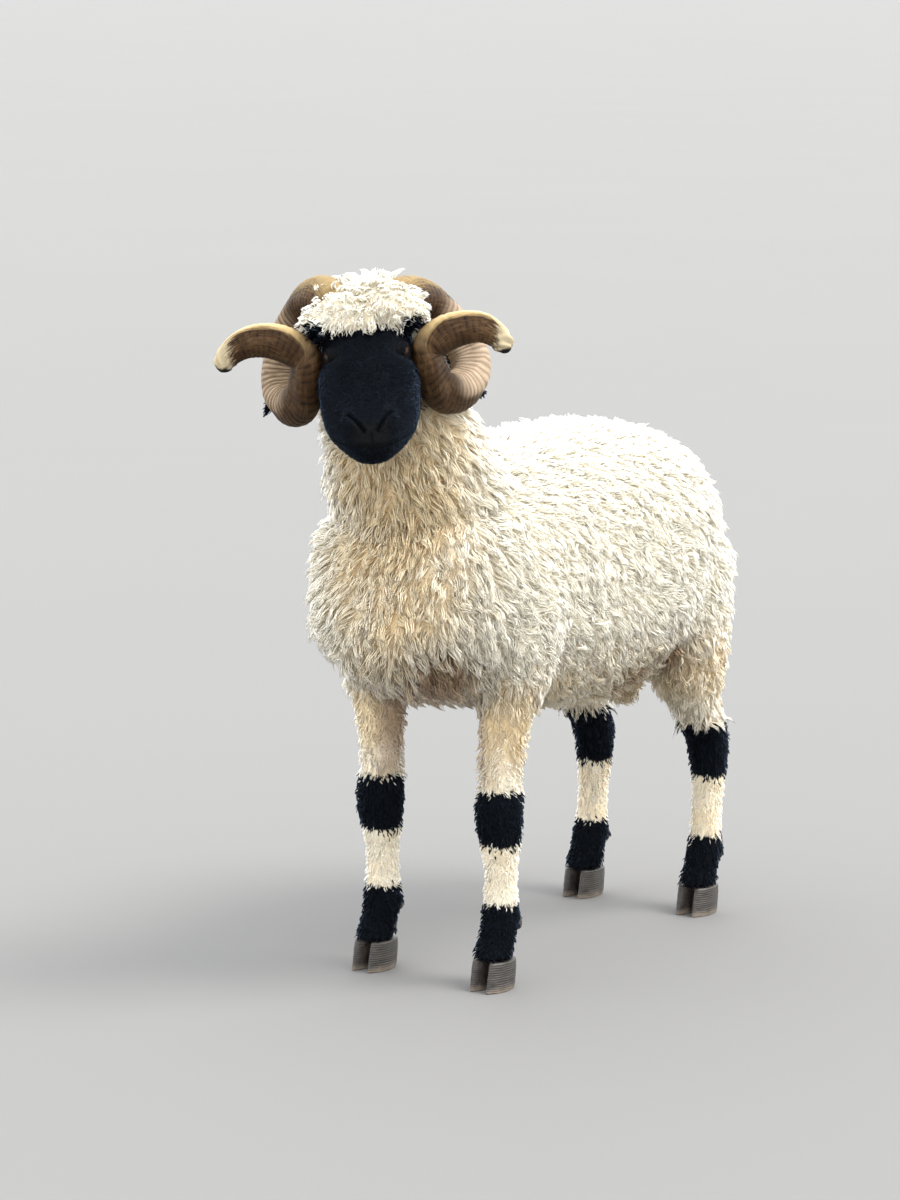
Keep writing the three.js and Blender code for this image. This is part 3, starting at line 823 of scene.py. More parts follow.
horn_middle = {}
for side, side_sign in SIDES.items():
    line, heading, length = horn_line(side, HORN_STEPS)
    share = np.linspace(0, 1, HORN_STEPS)
    away = line - np.array([0, *HORN_AXIS])
    away[:, 0] = 0
    flare = ramp(share, BLADE_START, BLADE_END)[:, None]
    away = unit(away) * (1 - flare) + BLADE_RIM * flare
    flank = unit(np.cross(away, heading))
    keel_way = np.cross(heading, flank)
    angle = np.linspace(0, 2 * math.pi, HORN_AROUND, endpoint=False)
    radius = horn_thickness(share)[:, None]
    shape = 1 + 0.07 * np.cos(3 * (angle - math.pi / 2)) + 0.02 * np.cos(6 * angle)
    # Growth rings: broad wrinkles with finer ones between, uneven in width and height
    walk = share * length
    track = table(walk, 0, 0)
    wander = (soft_noise(track, 24.0, 31) * 2.2)[:, None]
    walk = walk[:, None]
    tilt = 2.5 * np.cos(angle) + 1.5 * np.sin(angle)
    uneven = noise_round(16.0, 34, walk, 26 * np.cos(angle), 26 * np.sin(angle)) * 1.6
    place = walk + wander + tilt + uneven
    unevenness = (0.75 + 0.4 * soft_noise(track, 14.0, 32))[:, None]
    broad = np.abs(np.sin(place * math.pi / BROAD_RING)) ** 0.6
    narrow = np.abs(np.sin(place * math.pi / NARROW_RING)) ** 0.7
    strength = (1.15 * (1 - share) ** 0.6 + 0.10)[:, None] * unevenness
    rough = noise_round(3.4, 33, place, radius * np.cos(angle) / 3, radius * np.sin(angle) / 3)
    rings = (1.7 * (broad - 0.6) + 0.55 * (narrow - 0.6) + 0.45 * rough) * strength
    # The tip is rounded off and a little broken, and the start is rounded in the poll's wool.
    end = np.clip((share - HORN_TIP_START) / (1 - HORN_TIP_START), 0, 1)
    close = np.sqrt(np.clip(1 - end**2.6, 0.02, 1))
    start = np.clip(1 - share / HORN_ROOT_END, 0, 1)
    close *= np.sqrt(np.clip(1 - start**2, 0.02, 1))
    chips = 1 + 0.16 * ramp(share, 0.94, 0.98)[:, None] * np.sin(angle * 5 + walk / 2.6)
    reach = (radius * shape + rings) * close[:, None] * chips
    oval = COIL_OVAL + (BLADE_OVAL - COIL_OVAL) * flare
    loops = line[:, None] + flank[:, None] * (reach * np.cos(angle) * oval)[..., None]
    loops += keel_way[:, None] * (reach * np.sin(angle))[..., None]
    horn = closed_tube(f"horn_{side}_sheath", moved(loops * MM, head_place))
    ring_value = np.clip(0.62 * broad + 0.30 * narrow + 0.22 * rough, 0, 1)
    # The fourth number marks the left horn, whose inside takes painted light.
    growth = table(0.5 + 0.5 * np.sin(angle), share[:, None], ring_value, side == "left")
    fibre = table(radius * np.cos(angle), radius * np.sin(angle), walk * FIBRE_DRAW, 1)
    for name, values in (("growth", growth), ("fibre", fibre * (MM, MM, MM, 1))):
        rows = values.reshape(-1, 4)
        store(horn.data, name, np.concatenate([rows, rows[[0, -1]]]))
    horn.data.materials.append(horn_material)
    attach(horn, "root")
    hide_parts(f"horn_{side}")
    horn_middle[side] = moved(line * MM, head_place)


# ---------------------------------------------------------------- the eyes
# A ram's eyeball: a glossy dark ball with a brown iris and a level, oblong pupil. It
# looks out to the side, and a little forward and down.

IRIS_BROWN = (0.022, 0.010, 0.0045, 1)
IRIS_RIM = (0.018, 0.008, 0.006, 1)
EYE_WHITE = (0.008, 0.0055, 0.005, 1)
EYE_BLACK = (0.003, 0.003, 0.004, 1)
IRIS_RADIUS = 9.0
PUPIL = (5.6, 2.2)
CORNEA_RISE = 1.0

eye_material, shader, shade = new_material(
    "eye", Roughness=0.4, Specular_IOR_Level=0.12, Coat_Weight=0.03)
radial, level, across_pupil = shade.attribute("iris").parts()
fibre = shade.noise(1500.0, 3.0, 0.7)
iris = (radial + (fibre - 0.5) * 0.25).between(0.35, 0.95).colour(IRIS_BROWN, IRIS_RIM)
colour = radial.between(0.93, 1.02).colour(iris, EYE_WHITE)
pupil_gap = shade.sum("MAXIMUM", level, across_pupil)
colour = pupil_gap.between(0.92, 1.06).colour(EYE_BLACK, colour)
connect(shade, colour, shader, "Base Color")
shader.inputs["Coat Roughness"].default_value = 0.04

for side in SIDES:
    bpy.ops.object.select_all(action="DESELECT")
    bpy.ops.mesh.primitive_uv_sphere_add(segments=64, ring_count=40, radius=EYE_RADIUS)
    eye = bpy.context.object
    eye.name = f"eye_{side}_ball"
    ball = read_points(eye.data) / MM
    # The pupil faces the ball's +z before it is turned outwards.
    off_axis = np.hypot(ball[:, 0], ball[:, 1])
    ball[:, 2] += np.where(ball[:, 2] > 0, CORNEA_RISE * ramp(-off_axis, -8.5, -2.0), 0)
    looking = EYE_LOOK[side]
    level_way = Vector((0, 0, 1)).cross(looking).normalized()
    turn = Matrix((level_way, looking.cross(level_way), looking)).transposed()
    pupil_gaps = np.abs(ball[:, :2]) / PUPIL
    rings = table(off_axis / IRIS_RADIUS, *pupil_gaps.T, 1)
    rings[ball[:, 2] < 0, :2] = 2.0
    store(eye.data, "iris", np.clip(rings, 0, 2))
    placed = ball @ np.array(turn).T * MM + np.array(EYE_MIDDLE[side])
    write_points(eye.data, moved(placed, face_place))
    eye.data.shade_smooth()
    eye.data.materials.append(eye_material)
    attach(eye, "root")
    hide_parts(f"eye_{side}")


# ---------------------------------------------------------------- the hoofs
# Each foot has two claws. A claw is a thick horny shoe round its toe, with a pointed
# front, a flat inner wall, growth rings and a worn lower edge.

HOOF_DARK = (0.012, 0.010, 0.009, 1)
HOOF_GREY = (0.042, 0.034, 0.028, 1)
HOOF_WORN = (0.16, 0.13, 0.10, 1)

hoof_material, shader, shade = new_material("hoof")
bands = shade.out(shade.node("ShaderNodeSeparateXYZ", Vector=shade.place()), 2)
wobble = shade.noise(60.0, 3.0)
lines = shade.sum("SINE", bands * 1900.0 + wobble * 9.0) * 0.5 + 0.5
worn = (0.012 - bands + (wobble - 0.5) * 0.01).between(0.0, 0.012)
keratin = (lines * 0.2 + wobble * 0.8).between(0.2, 0.8).colour(HOOF_DARK, HOOF_GREY)
connect(shade, worn.colour(keratin, HOOF_WORN), shader, "Base Color")
connect(shade, 0.42 + worn * 0.35 + wobble * 0.15, shader, "Roughness")
connect(shade, shade.relief(lines * 0.7 + wobble * 2.0, 0.0006, 0.8), shader, "Normal")

# From sole to hair line: height, half width, and reach to toe and to heel, in millimetres
CLAW_ROWS = [
    (0.0, 12.2, 39.5, 22.5), (1.2, 13.4, 41.5, 24.0), (4.0, 13.8, 41.0, 25.0),
    (8.0, 13.9, 40.0, 26.0), (12.0, 13.7, 39.3, 26.6), (13.0, 13.3, 38.6, 26.4),
    (18.0, 13.7, 37.8, 27.4), (23.0, 13.5, 36.9, 28.0), (24.0, 13.1, 36.2, 27.8),
    (29.0, 13.4, 35.0, 28.6), (34.0, 13.2, 34.0, 28.8), (35.0, 12.8, 33.2, 28.6),
    (40.0, 12.9, 32.0, 28.8), (43.6, 12.4, 30.2, 28.0),
]
CLAW_POINTS = 28
TOE_REACH = 41.5
X_WAY, Y_WAY, Z_WAY = Matrix.Identity(3)


def pick(piece, wanted):
    """Selects the points of a piece in edit mode, by their place."""
    bpy.ops.object.mode_set(mode="OBJECT")
    for group in (piece.data.polygons, piece.data.edges):
        group.foreach_set("select", np.zeros(len(group), bool))
    piece.data.vertices.foreach_set("select", wanted(read_points(piece.data)))
    bpy.ops.object.mode_set(mode="EDIT")
    bpy.ops.mesh.select_mode(type="VERT")


def start_shaping(add, **settings):
    """Adds a primitive and opens it in edit mode, selected all over."""
    bpy.ops.object.select_all(action="DESELECT")
    add(**settings)
    piece = bpy.context.object
    make_active(piece)
    bpy.ops.object.mode_set(mode="EDIT")
    bpy.ops.mesh.select_all(action="SELECT")
    return piece


def squeeze(piece, wanted, value, axis, middle):
    """Scales the picked points about a place on one axis, in millimetres."""
    pick(piece, wanted)
    bpy.ops.transform.resize(value=value, center_override=axis * middle * MM)


def end_shaping(piece):
    """Leaves edit mode, smooths a piece and gives its points."""
    bpy.ops.object.mode_set(mode="OBJECT")
    finish_with(piece, "SUBSURF", levels=1, render_levels=1)
    piece.data.shade_smooth()
    return read_points(piece.data)


def copy_piece(piece, name, points):
    """A copy with its own mesh, whose points lie elsewhere."""
    copy = new_piece(name, piece.data.copy())
    write_points(copy.data, points)
    face_outwards(copy)
    return copy


def close_end(piece, height, inset, sink):
    """Fills the loop at a height, and sinks the middle of the new face."""
    pick(piece, lambda p: np.abs(p[:, 2] - height * MM) < 0.1 * MM)
    bpy.ops.mesh.edge_face_add()
    for share in (0.4, 1.0):
        bpy.ops.mesh.inset(thickness=inset * share * MM, depth=sink * MM)
    bpy.ops.mesh.poke()


claw = start_shaping(bpy.ops.mesh.primitive_circle_add, vertices=CLAW_POINTS, radius=1)
bpy.ops.transform.resize(value=(MM, MM, 1), center_override=(0, 0, 0))
width, toe, heel = 1.0, 1.0, 1.0
for row, (height, new_width, new_toe, new_heel) in enumerate(CLAW_ROWS):
    if row:
        rise = (height - CLAW_ROWS[row - 1][0]) * MM
        bpy.ops.mesh.extrude_region_move(TRANSFORM_OT_translate={"value": (0, 0, rise)})
    long, new_long = toe + heel, new_toe + new_heel
    bpy.ops.transform.resize(
        value=(new_width / width, new_long / long, 1), center_override=(0, 0, height * MM))
    shift = (new_heel - new_toe) / 2 - (heel - toe) / 2 * new_long / long
    bpy.ops.transform.translate(value=(0, shift * MM, 0))
    width, toe, heel = new_width, new_toe, new_heel
close_end(claw, CLAW_ROWS[0][0], 2.4, 0.4)
close_end(claw, CLAW_ROWS[-1][0], 2.4, -0.3)
# The toe is drawn to a point, and the inner wall, on the claw's -x side, is flatter.
squeeze(claw, lambda p: p[:, 1] < -22 * MM, (0.80, 1, 1), X_WAY, -1.5)
squeeze(claw, lambda p: p[:, 1] < -32 * MM, (0.74, 1, 1), X_WAY, -2.5)
squeeze(claw, lambda p: p[:, 0] < -9 * MM, (0.55, 1, 1), X_WAY, -11)
bpy.ops.mesh.select_all(action="SELECT")
bpy.ops.mesh.normals_make_consistent(inside=False)
claw_points = end_shaping(claw)

for fore, (name, side_sign) in itertools.product(("fore", "hind"), SIDES.items()):
    for half in ("inner", "outer"):
        node = f"{fore}hoof_{name}_{half}"
        low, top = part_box(node)
        # The flat wall faces the other claw of the foot.
        facing = side_sign if half == "outer" else -side_sign
        place = (low.x + top.x) / 2, low.y + TOE_REACH * MM, low.z
        shoe = copy_piece(claw, node + "_shoe", claw_points * (facing, 1, 1) + place)
        shoe.data.materials.append(hoof_material)
        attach(shoe, "root")
        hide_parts(node)
bpy.data.objects.remove(claw)


# ---------------------------------------------------------------- the dewclaws
# Two small blunt claws of horn sit in the hair behind each pastern, and touch nothing.

DEWCLAW_SIZE = (7.4, 7.6, 12.0)
DEWCLAW_TILT = math.radians(24)
DEWCLAW_HEIGHT = 90
DEWCLAW_GAP = 12.5
FOOT_SIDE = 106
DEWCLAW_BACK = {"fore": -141, "hind": 425}

claw = start_shaping(
    bpy.ops.mesh.primitive_uv_sphere_add, segments=20, ring_count=14, radius=MM)
bpy.ops.transform.resize(value=DEWCLAW_SIZE, center_override=(0, 0, 0))
bpy.ops.transform.rotate(value=DEWCLAW_TILT, orient_axis="X", center_override=(0, 0, 0))
# The lower end is worn flat, and the outer face is flatter than the hidden one.
squeeze(claw, lambda p: p[:, 2] < -7.5 * MM, (0.95, 0.95, 0.25), Z_WAY, -7.5)
squeeze(claw, lambda p: p[:, 1] > 3.5 * MM, (1, 0.7, 1), Y_WAY, 3.5)
claw_points = end_shaping(claw)
for (fore, back), (name, side_sign) in itertools.product(DEWCLAW_BACK.items(), SIDES.items()):
    for half, gap in (("inner", -DEWCLAW_GAP), ("outer", DEWCLAW_GAP)):
        place = np.array([side_sign * (FOOT_SIDE + gap), back, DEWCLAW_HEIGHT]) * MM
        dewclaw = copy_piece(claw, f"dewclaw_{fore}_{name}_{half}", claw_points + place)
        dewclaw.data.materials.append(hoof_material)
        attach(dewclaw, "root")
bpy.data.objects.remove(claw)


# ---------------------------------------------------------------- the fleece
# Short curly wool, grown back since the last shearing. Thin wavy strands draw together
# into small pointed locks, which overlap and lie down and back along the body. The poll
# has a shaggy cushion, and the face, ears and legs short dense hair.

skin.data.calc_loop_triangles()
corners = read_rows(skin.data.loop_triangles, "vertices")
hide_points = read_points(skin.data)
hide_normals = read_points(skin.data, "normal")
triangle = hide_points[corners]
triangle_area = 0.5 * np.linalg.norm(
    np.cross(triangle[:, 1] - triangle[:, 0], triangle[:, 2] - triangle[:, 0]), axis=1
)
triangle_middle = triangle.mean(1)
triangle_owner = owners(triangle_middle)

# A plain copy of the hide, unwrapped, gives each root its place in the bake map.
FLAT_FACES_KEPT = 0.12
flat_hide = new_piece("flat_hide", skin.data.copy())
finish_with(flat_hide, "DECIMATE", ratio=FLAT_FACES_KEPT)
make_active(flat_hide)
bpy.ops.object.mode_set(mode="EDIT")
bpy.ops.mesh.select_all(action="SELECT")
bpy.ops.uv.smart_project(angle_limit=math.radians(66), island_margin=0.002)
bpy.ops.object.mode_set(mode="OBJECT")
flat_hide.data.calc_loop_triangles()
flat_corners = read_rows(flat_hide.data.loop_triangles, "vertices")
flat_loops = read_rows(flat_hide.data.loop_triangles, "loops")
flat_points = read_points(flat_hide.data)
flat_map = read_rows(flat_hide.data.uv_layers.active.uv, "vector", 2, np.float32)[flat_loops]
flat_shape = BVHTree.FromPolygons(flat_points.tolist(), flat_corners.tolist())
bpy.data.objects.remove(flat_hide)


def map_places(points):
    """Where each root lies on the hide's own unwrap."""
    found = [flat_shape.find_nearest(Vector(p)) for p in points]
    near = np.array([f[0] for f in found])
    index = np.array([f[2] for f in found])
    a, b, c = flat_points[flat_corners[index]].transpose(1, 0, 2)
    normal = np.cross(b - a, c - a)
    size = np.maximum((normal**2).sum(1), 1e-20)
    share_b = (np.cross(near - a, c - a) * normal).sum(1) / size
    share_c = (np.cross(b - a, near - a) * normal).sum(1) / size
    shares = table(1 - share_b - share_c, share_b, share_c).clip(0, 1)
    return (flat_map[index] * shares[..., None]).sum(1)


def scatter(wanted, gap, most, chance):
    """Places and normals, spread evenly over the wanted triangles at about that gap."""
    weights = triangle_area * wanted
    count = max(8, min(most, int(weights.sum() / gap**2)))
    cell = math.sqrt(1.32 * weights.sum() / count)
    picked = chance.choice(len(weights), count * 7, p=weights / weights.sum())
    shares = chance.uniform(0, 1, (len(picked), 2))
    over = shares.sum(1) > 1
    shares[over] = 1 - shares[over]
    shares = np.concatenate([1 - shares.sum(1, keepdims=True), shares], 1)[..., None]
    places = (hide_points[corners[picked]] * shares).sum(1)
    facing = unit((hide_normals[corners[picked]] * shares).sum(1))
    cells = np.floor(places / cell + 0.37).astype(np.int64)
    keys = (cells * (1, 4001, 16008001)).sum(1)
    _, first = np.unique(keys, return_index=True)
    first = chance.permutation(first)[:count]
    return places[first], facing[first]


LEG_WAY = (0, 0.12, -1)


def lie_of_coat(roots):
    """The way that the coat lies at each root, before it is laid along the surface."""
    names = np.array(flesh_names)[owners(roots)]
    local = in_head(roots)
    side = np.sign(local[:, 0])
    # The poll's wool falls forward over the brow, and behind it back on to the neck.
    poll_way = turned(unit(table(
        side * (0.12 + 0.9 * ramp(np.abs(local[:, 0]), 30, 90)),
        -1.0 + 1.9 * ramp(local[:, 1], -50, -10),
        -0.45,
    )), head_place)
    face_way = turned(unit(table(0.003 * in_face(roots)[:, 0], -1, -0.3)), face_place)
    ear_way = turned(unit(table(108 * side, 50, -125)), head_place)
    body_way = table(
        0.35 * np.tanh(roots[:, 0] / 0.05), 0.15 + 0.5 * ramp(roots[:, 1], -0.34, -0.05), -1)
    for place, way in (
        (names == "topknot", poll_way),
        (names == "head", face_way),
        ((names == "head") & on_forehead(roots), poll_way),
        (np.char.startswith(names, "ear"), ear_way),
        (np.char.find(names, "leg") >= 0, LEG_WAY),
    ):
        body_way = np.where(place[:, None], way, body_way)
    return unit(body_way)


def strand_pattern(steps):
    """One three-sided strand: its faces' point numbers, and each corner's share of the map."""
    faces = [(0, 2, 1)]
    spots = [(0.0, 0.0), (1.0, 0.0), (0.5, 0.12)]
    for step, j in itertools.product(range(steps), range(3)):
        a, b = step * 3 + j, step * 3 + (j + 1) % 3
        left, right, low, top = j / 3, (j + 1) / 3, step / steps, (step + 1) / steps
        if step < steps - 1:
            faces.append((a, b, b + 3, a + 3))
            spots += [(left, low), (right, low), (right, top), (left, top)]
        else:
            faces.append((a, b, steps * 3))
            spots += [(left, low), (right, low), ((left + right) / 2, top)]
    return faces, np.array(spots)


PATCH = 0.003  # each strand's share of the bake map's width
MOST_TRIANGLES = 195000  # in a piece of coat
PATH_STEPS = 12
STRAND_CORNERS = [math.radians(degrees) for degrees in (90, 210, 330)]
STRAND_DEPTH = 0.7  # of its width
STRAND_LEAN = 0.7  # how far its root's section leans back, in radians
ROOT_SINK = 0.6 * MM
CURL_TURN = 6.5  # the turn of its curl from root to tip, in radians
HORN_CLEARANCE = 0.93  # of the horn's radius


def lock_paths(centres, up, style, seed, chance):
    """The curve that each lock's strands gather to, from its root, and its sideways way."""
    count = len(centres)
    flow = style["way"](centres)
    flow = unit(flow - up * (flow * up).sum(1, keepdims=True))
    side = np.cross(up, flow)
    turn = style["stray"] * chance.normal(0, 1, count)
    turn = (turn + style["swirl"] * soft_noise(centres, 0.045, 40))[:, None]
    flow = flow * np.cos(turn) + side * np.sin(turn)
    side = np.cross(up, flow)
    patchy = 1 + 0.2 * soft_noise(centres, 0.05, seed + 7)
    length = style["length"] * MM * chance.uniform(0.8, 1.22, count) * patchy
    length = (length * style["fit"](centres))[:, None]
    lift = np.radians(chance.normal(0, 9, count))[:, None]
    path = [0 * centres]
    for step in range(PATH_STEPS):
        t = (step + 0.5) / PATH_STEPS
        rise = math.radians(style["rise"][0] * (1 - t**0.8) + style["rise"][1] * t**0.8) + lift
        path.append(path[-1] + (flow * np.cos(rise) + up * np.sin(rise)) * length / PATH_STEPS)
    path = np.stack(path, 1)
    t = np.linspace(0, 1, PATH_STEPS + 1)
    phase = chance.uniform(0, 2 * math.pi, count)[:, None]
    bend = 2 * math.pi * style["waves"] * chance.uniform(0.8, 1.2, count)[:, None] * t + phase
    swing = style["swing"] * MM * chance.uniform(0.6, 1.3, count)[:, None] * t**0.7
    path += side[:, None] * (swing * (np.sin(bend) - 0.5 * np.sin(phase)))[..., None]
    path += up[:, None] * (0.5 * swing * (np.cos(bend) - 0.5 * np.cos(phase)))[..., None]
    return path, flow, side


def clear_of_horns(points, samples):
    """Which strands keep out of both horns, by a few of their points."""
    clear = np.ones(len(points), bool)
    for middle in horn_middle.values():
        near = middle[::6]
        radius = horn_thickness(np.linspace(0, 1, len(middle)))[::6] * MM * HORN_CLEARANCE
        for sample in samples:
            place = points[:, sample]
            close = np.linalg.norm(place - POLL, axis=1) < 0.35
            gap = np.linalg.norm(place[close][:, None] - near[None], axis=2) - radius
            clear[np.flatnonzero(close)[gap.min(1) < 0]] = False
    return clear


def strand_mesh(name, points, steps):
    """One mesh of many strands, given each one's points, and the pattern of its map."""
    faces, spots = strand_pattern(steps)
    count, per = points.shape[:2]
    flat = np.concatenate(faces)
    sizes = np.tile([len(face) for face in faces], count)
    mesh = bpy.data.meshes.new(name)
    mesh.vertices.add(count * per)
    mesh.vertices.foreach_set("co", points.astype(np.float32).ravel())
    mesh.loops.add(count * len(flat))
    loops = (flat[None] + (np.arange(count) * per)[:, None]).astype(np.int32)
    mesh.loops.foreach_set("vertex_index", loops.ravel())
    mesh.polygons.add(len(sizes))
    starts = np.concatenate([[0], np.cumsum(sizes)[:-1]]).astype(np.int32)
    mesh.polygons.foreach_set("loop_start", starts)
    mesh.update(calc_edges=True)
    return mesh, spots


def strand_points(roots, facing, offset, path, flow, side, style, chance):
    """Every strand's points. It curls along its lock's curve, which is an offset away."""
    count, steps = len(roots), style["steps"]
    apart = np.linalg.norm(offset, axis=1) / (style["lock"] * MM)
    reach = chance.uniform(0.84, 1.0, count) * (1 - 0.3 * np.clip(apart, 0, 1))
    width = style["width"] * MM * chance.uniform(0.75, 1.3, count)[:, None]
    phase = chance.uniform(0, 2 * math.pi, count)[:, None]
    curl = style["curl"] * MM
    rings = []
    row = np.arange(count)
    for step in range(steps + 1):
        t = step / steps
        spot = t * reach * PATH_STEPS
        low = np.minimum(spot.astype(int), PATH_STEPS - 1)
        part = (spot - low)[:, None]
        place = roots + path[row, low] * (1 - part) + path[row, low + 1] * part
        place -= offset * style["draw"] * t
        twist = CURL_TURN * t + phase
        place += side * curl * t * np.sin(twist)
        place += facing * (curl * 0.6 * t * np.cos(twist) - ROOT_SINK * (step == 0))
        if step == steps:
            rings.append(place[:, None])
            break
        half = width / 2 * (0.62 + 1.5 * t - 1.75 * t * t)
        lean = STRAND_LEAN * (1 - t)
        upward = (facing * math.cos(lean) - flow * math.sin(lean)) * STRAND_DEPTH
        rings.append(np.stack([
            place + (side * math.cos(a) + upward * math.sin(a)) * half for a in STRAND_CORNERS
        ], 1))
    return np.concatenate(rings, 1)


def grow_locks(name, weight, style, seed):
    """A piece of coat: thin strands, gathered into locks, in one mesh."""
    chance = np.random.default_rng(seed)
    steps = style["steps"]
    most = MOST_TRIANGLES // (6 * steps - 2)
    roots, facing = scatter(weight, style["gap"] * MM, most, chance)
    centres, up = scatter(weight, style["lock"] * MM, most, chance)
    curves = lock_paths(centres, up, style, seed, chance)
    tree = KDTree(len(centres))
    for index, centre in enumerate(centres):
        tree.insert(centre, index)
    tree.balance()
    group = np.array([tree.find(root)[1] for root in roots])
    path, flow, side = (rows[group] for rows in curves)
    offset = roots - centres[group]
    points = strand_points(roots, facing, offset, path, flow, side, style, chance)
    clear = clear_of_horns(points, style["clear"])
    points, roots, group = points[clear], roots[clear], group[clear]
    count, per = points.shape[:2]
    mesh, spots = strand_mesh(name, points, steps)
    store(mesh, "marks", np.repeat(markings(roots, style["ragged"] * MM, seed), per, 0))
    along = np.concatenate([np.repeat(np.arange(steps) / steps, 3), [1.0]])
    lock_tone = chance.uniform(0, 1, len(centres))[group][:, None]
    strand_tone = chance.uniform(0, 1, count)[:, None]
    store(mesh, "lock", table(along, strand_tone, lock_tone, 1).reshape(-1, 4))
    # A strand's own pattern runs across it, along it and from one strand to the next.
    across = np.concatenate([np.tile([0.5, 0.0, 1.0], steps), [0.5]])
    own = chance.uniform(0, 40, count)[:, None]
    fibre = table(across * 5.0, along * style["length"] / 9.0, own, 1)
    store(mesh, "fibre", fibre.reshape(-1, 4))
    spread_out = map_places(roots)
    low, top = spread_out.min(0), spread_out.max(0)
    spread_out = (spread_out - low) / (top - low) * (1 - 2 * PATCH) + PATCH / 2
    bake_map = spread_out[:, None] + (spots * PATCH)[None]
    layer = mesh.uv_layers.new(name="OFBake")
    layer.uv.foreach_set("vector", bake_map.astype(np.float32).ravel())
    mesh.shade_smooth()
    piece = new_piece(name, mesh)
    piece.data.materials.append(wool_material)
    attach(piece, "root")


wool_material, shader, shade = new_material(
    "wool", Roughness=0.9, Specular_IOR_Level=0.05, Subsurface_Weight=0.8, Subsurface_Scale=0.008,
    Subsurface_Radius=(1.0, 1.0, 1.0))
along, strand_tone, lock_tone = shade.attribute("lock").parts()
colour = wool_colour(shade, (1 - along) * 0.7 + lock_tone * 0.3)
fibres = shade.noise(1.0, 2.0, 0.6, where=shade.attribute("fibre"))
tone_and_root_shade = 0.90 + strand_tone * 0.05 + lock_tone * 0.04 + fibres.between(0.3, 0.7) * 0.06
# Painted shade: each strand darkens towards its root, down among the locks.
tone_and_root_shade = tone_and_root_shade * (along.between(0.0, 0.7) * 0.06 + 0.94)
tone_and_root_shade = shade.out(shade.node("ShaderNodeCombineColor", Red=tone_and_root_shade, Green=tone_and_root_shade, Blue=tone_and_root_shade * 0.98))
made = shade.node(
    "ShaderNodeMix", {"data_type": "RGBA", "blend_type": "MULTIPLY"}, i0=1.0, i6=colour, i7=tone_and_root_shade)
connect(shade, shade.out(made, 2), shader, "Base Color")
connect(shade, shade.relief(fibres, 0.0004, 0.7), shader, "Normal")


def named(*words):
    """The hide's triangles that belong to nodes with one of these words in the name."""
    return parts_named(triangle_owner, words)


def between_lids(local):
    """Whether points, in millimetres in the face's frame, are at the edges of the lids."""
    inside = np.zeros(len(local), bool)
    for side in SIDES:
        offset = local - np.array(EYE_MIDDLE[side]) / MM
        gap = np.linalg.norm(offset, axis=1)
        inside |= (gap < 17.5) & (offset @ np.array(EYE_LOOK[side]) > gap * 0.78)
    return inside


def face_length(roots):
    """Hair is shorter towards the muzzle and round the eyes."""
    local = in_face(roots)
    short = 1 - 0.6 * ramp(-local[:, 1], 150, 235)
    return short * ramp(near_eyes(local), 14, 34) * 0.85 + 0.15


def poll_length(roots):
    """The poll's wool is shorter along the fringe."""
    return 1 - 0.42 * ramp(-in_face(roots)[:, 1], 8, 40)


def brow_way(roots):
    """The tufts beside the horns' roots stand up, outwards and forwards."""
    return turned(unit(table(0.75 * np.sign(in_head(roots)[:, 0]), -0.75, 0.8)), head_place)


# Each style of wool or hair, in millimetres and degrees. A strand is as long and as wide as
# it says, starts a gap from the next, and joins the others of its lock.
FLEECE = {
    "steps": 3, "gap": 4.35, "lock": 11.5, "length": 27, "width": 2.4, "rise": (48, 4),
    "stray": 0.42, "swirl": 0.5, "waves": 1.0, "swing": 2.2, "curl": 1.5, "draw": 0.40,
    "ragged": 3.0, "slot": "fleece", "clear": (0, 6, -1), "way": lie_of_coat,
    "fit": lambda roots: 1.0,
}
CHEST = {
    **FLEECE, "steps": 4, "gap": 4.6, "lock": 14, "length": 36, "width": 2.6, "waves": 1.3,
    "swing": 3.4, "stray": 0.30, "swirl": 0.38, "draw": 0.5, "slot": "stained_fleece",
}
POLL_WOOL = {
    **FLEECE, "steps": 5, "gap": 3.7, "lock": 12, "length": 30, "width": 2.5,
    "rise": (72, 8), "stray": 0.45, "waves": 1.3, "swing": 3.0, "curl": 1.6, "clear": (),
    "fit": poll_length,
}
TAIL = {**FLEECE, "length": 30, "stray": 0.25}
SHORT = {
    **FLEECE, "gap": 4.5, "lock": 8.5, "length": 16, "width": 2.5, "rise": (55, 4),
    "swing": 1.4, "waves": 0.8,
}
LEG_HAIR = {
    **SHORT, "gap": 4.0, "lock": 6.5, "length": 10, "width": 2.4, "rise": (40, 4),
    "swing": 0.6, "waves": 0.7, "curl": 0.3, "stray": 0.25, "swirl": 0.35, "ragged": 5.0,
}
FACE_HAIR = {
    **LEG_HAIR, "gap": 2.6, "lock": 5.0, "length": 8.5, "width": 1.15, "rise": (30, 6),
    "ragged": 4.0, "slot": "black_wool", "fit": face_length,
}
EAR_HAIR = {**FACE_HAIR, "gap": 3.2, "width": 1.8}
BROW = {
    **FACE_HAIR, "steps": 5, "lock": 7, "length": 22, "width": 1.8, "rise": (60, 45),
    "swing": 2.2, "waves": 0.9, "curl": 0.8, "draw": 0.6, "way": brow_way, "clear": (0,),
    "fit": FLEECE["fit"],
}

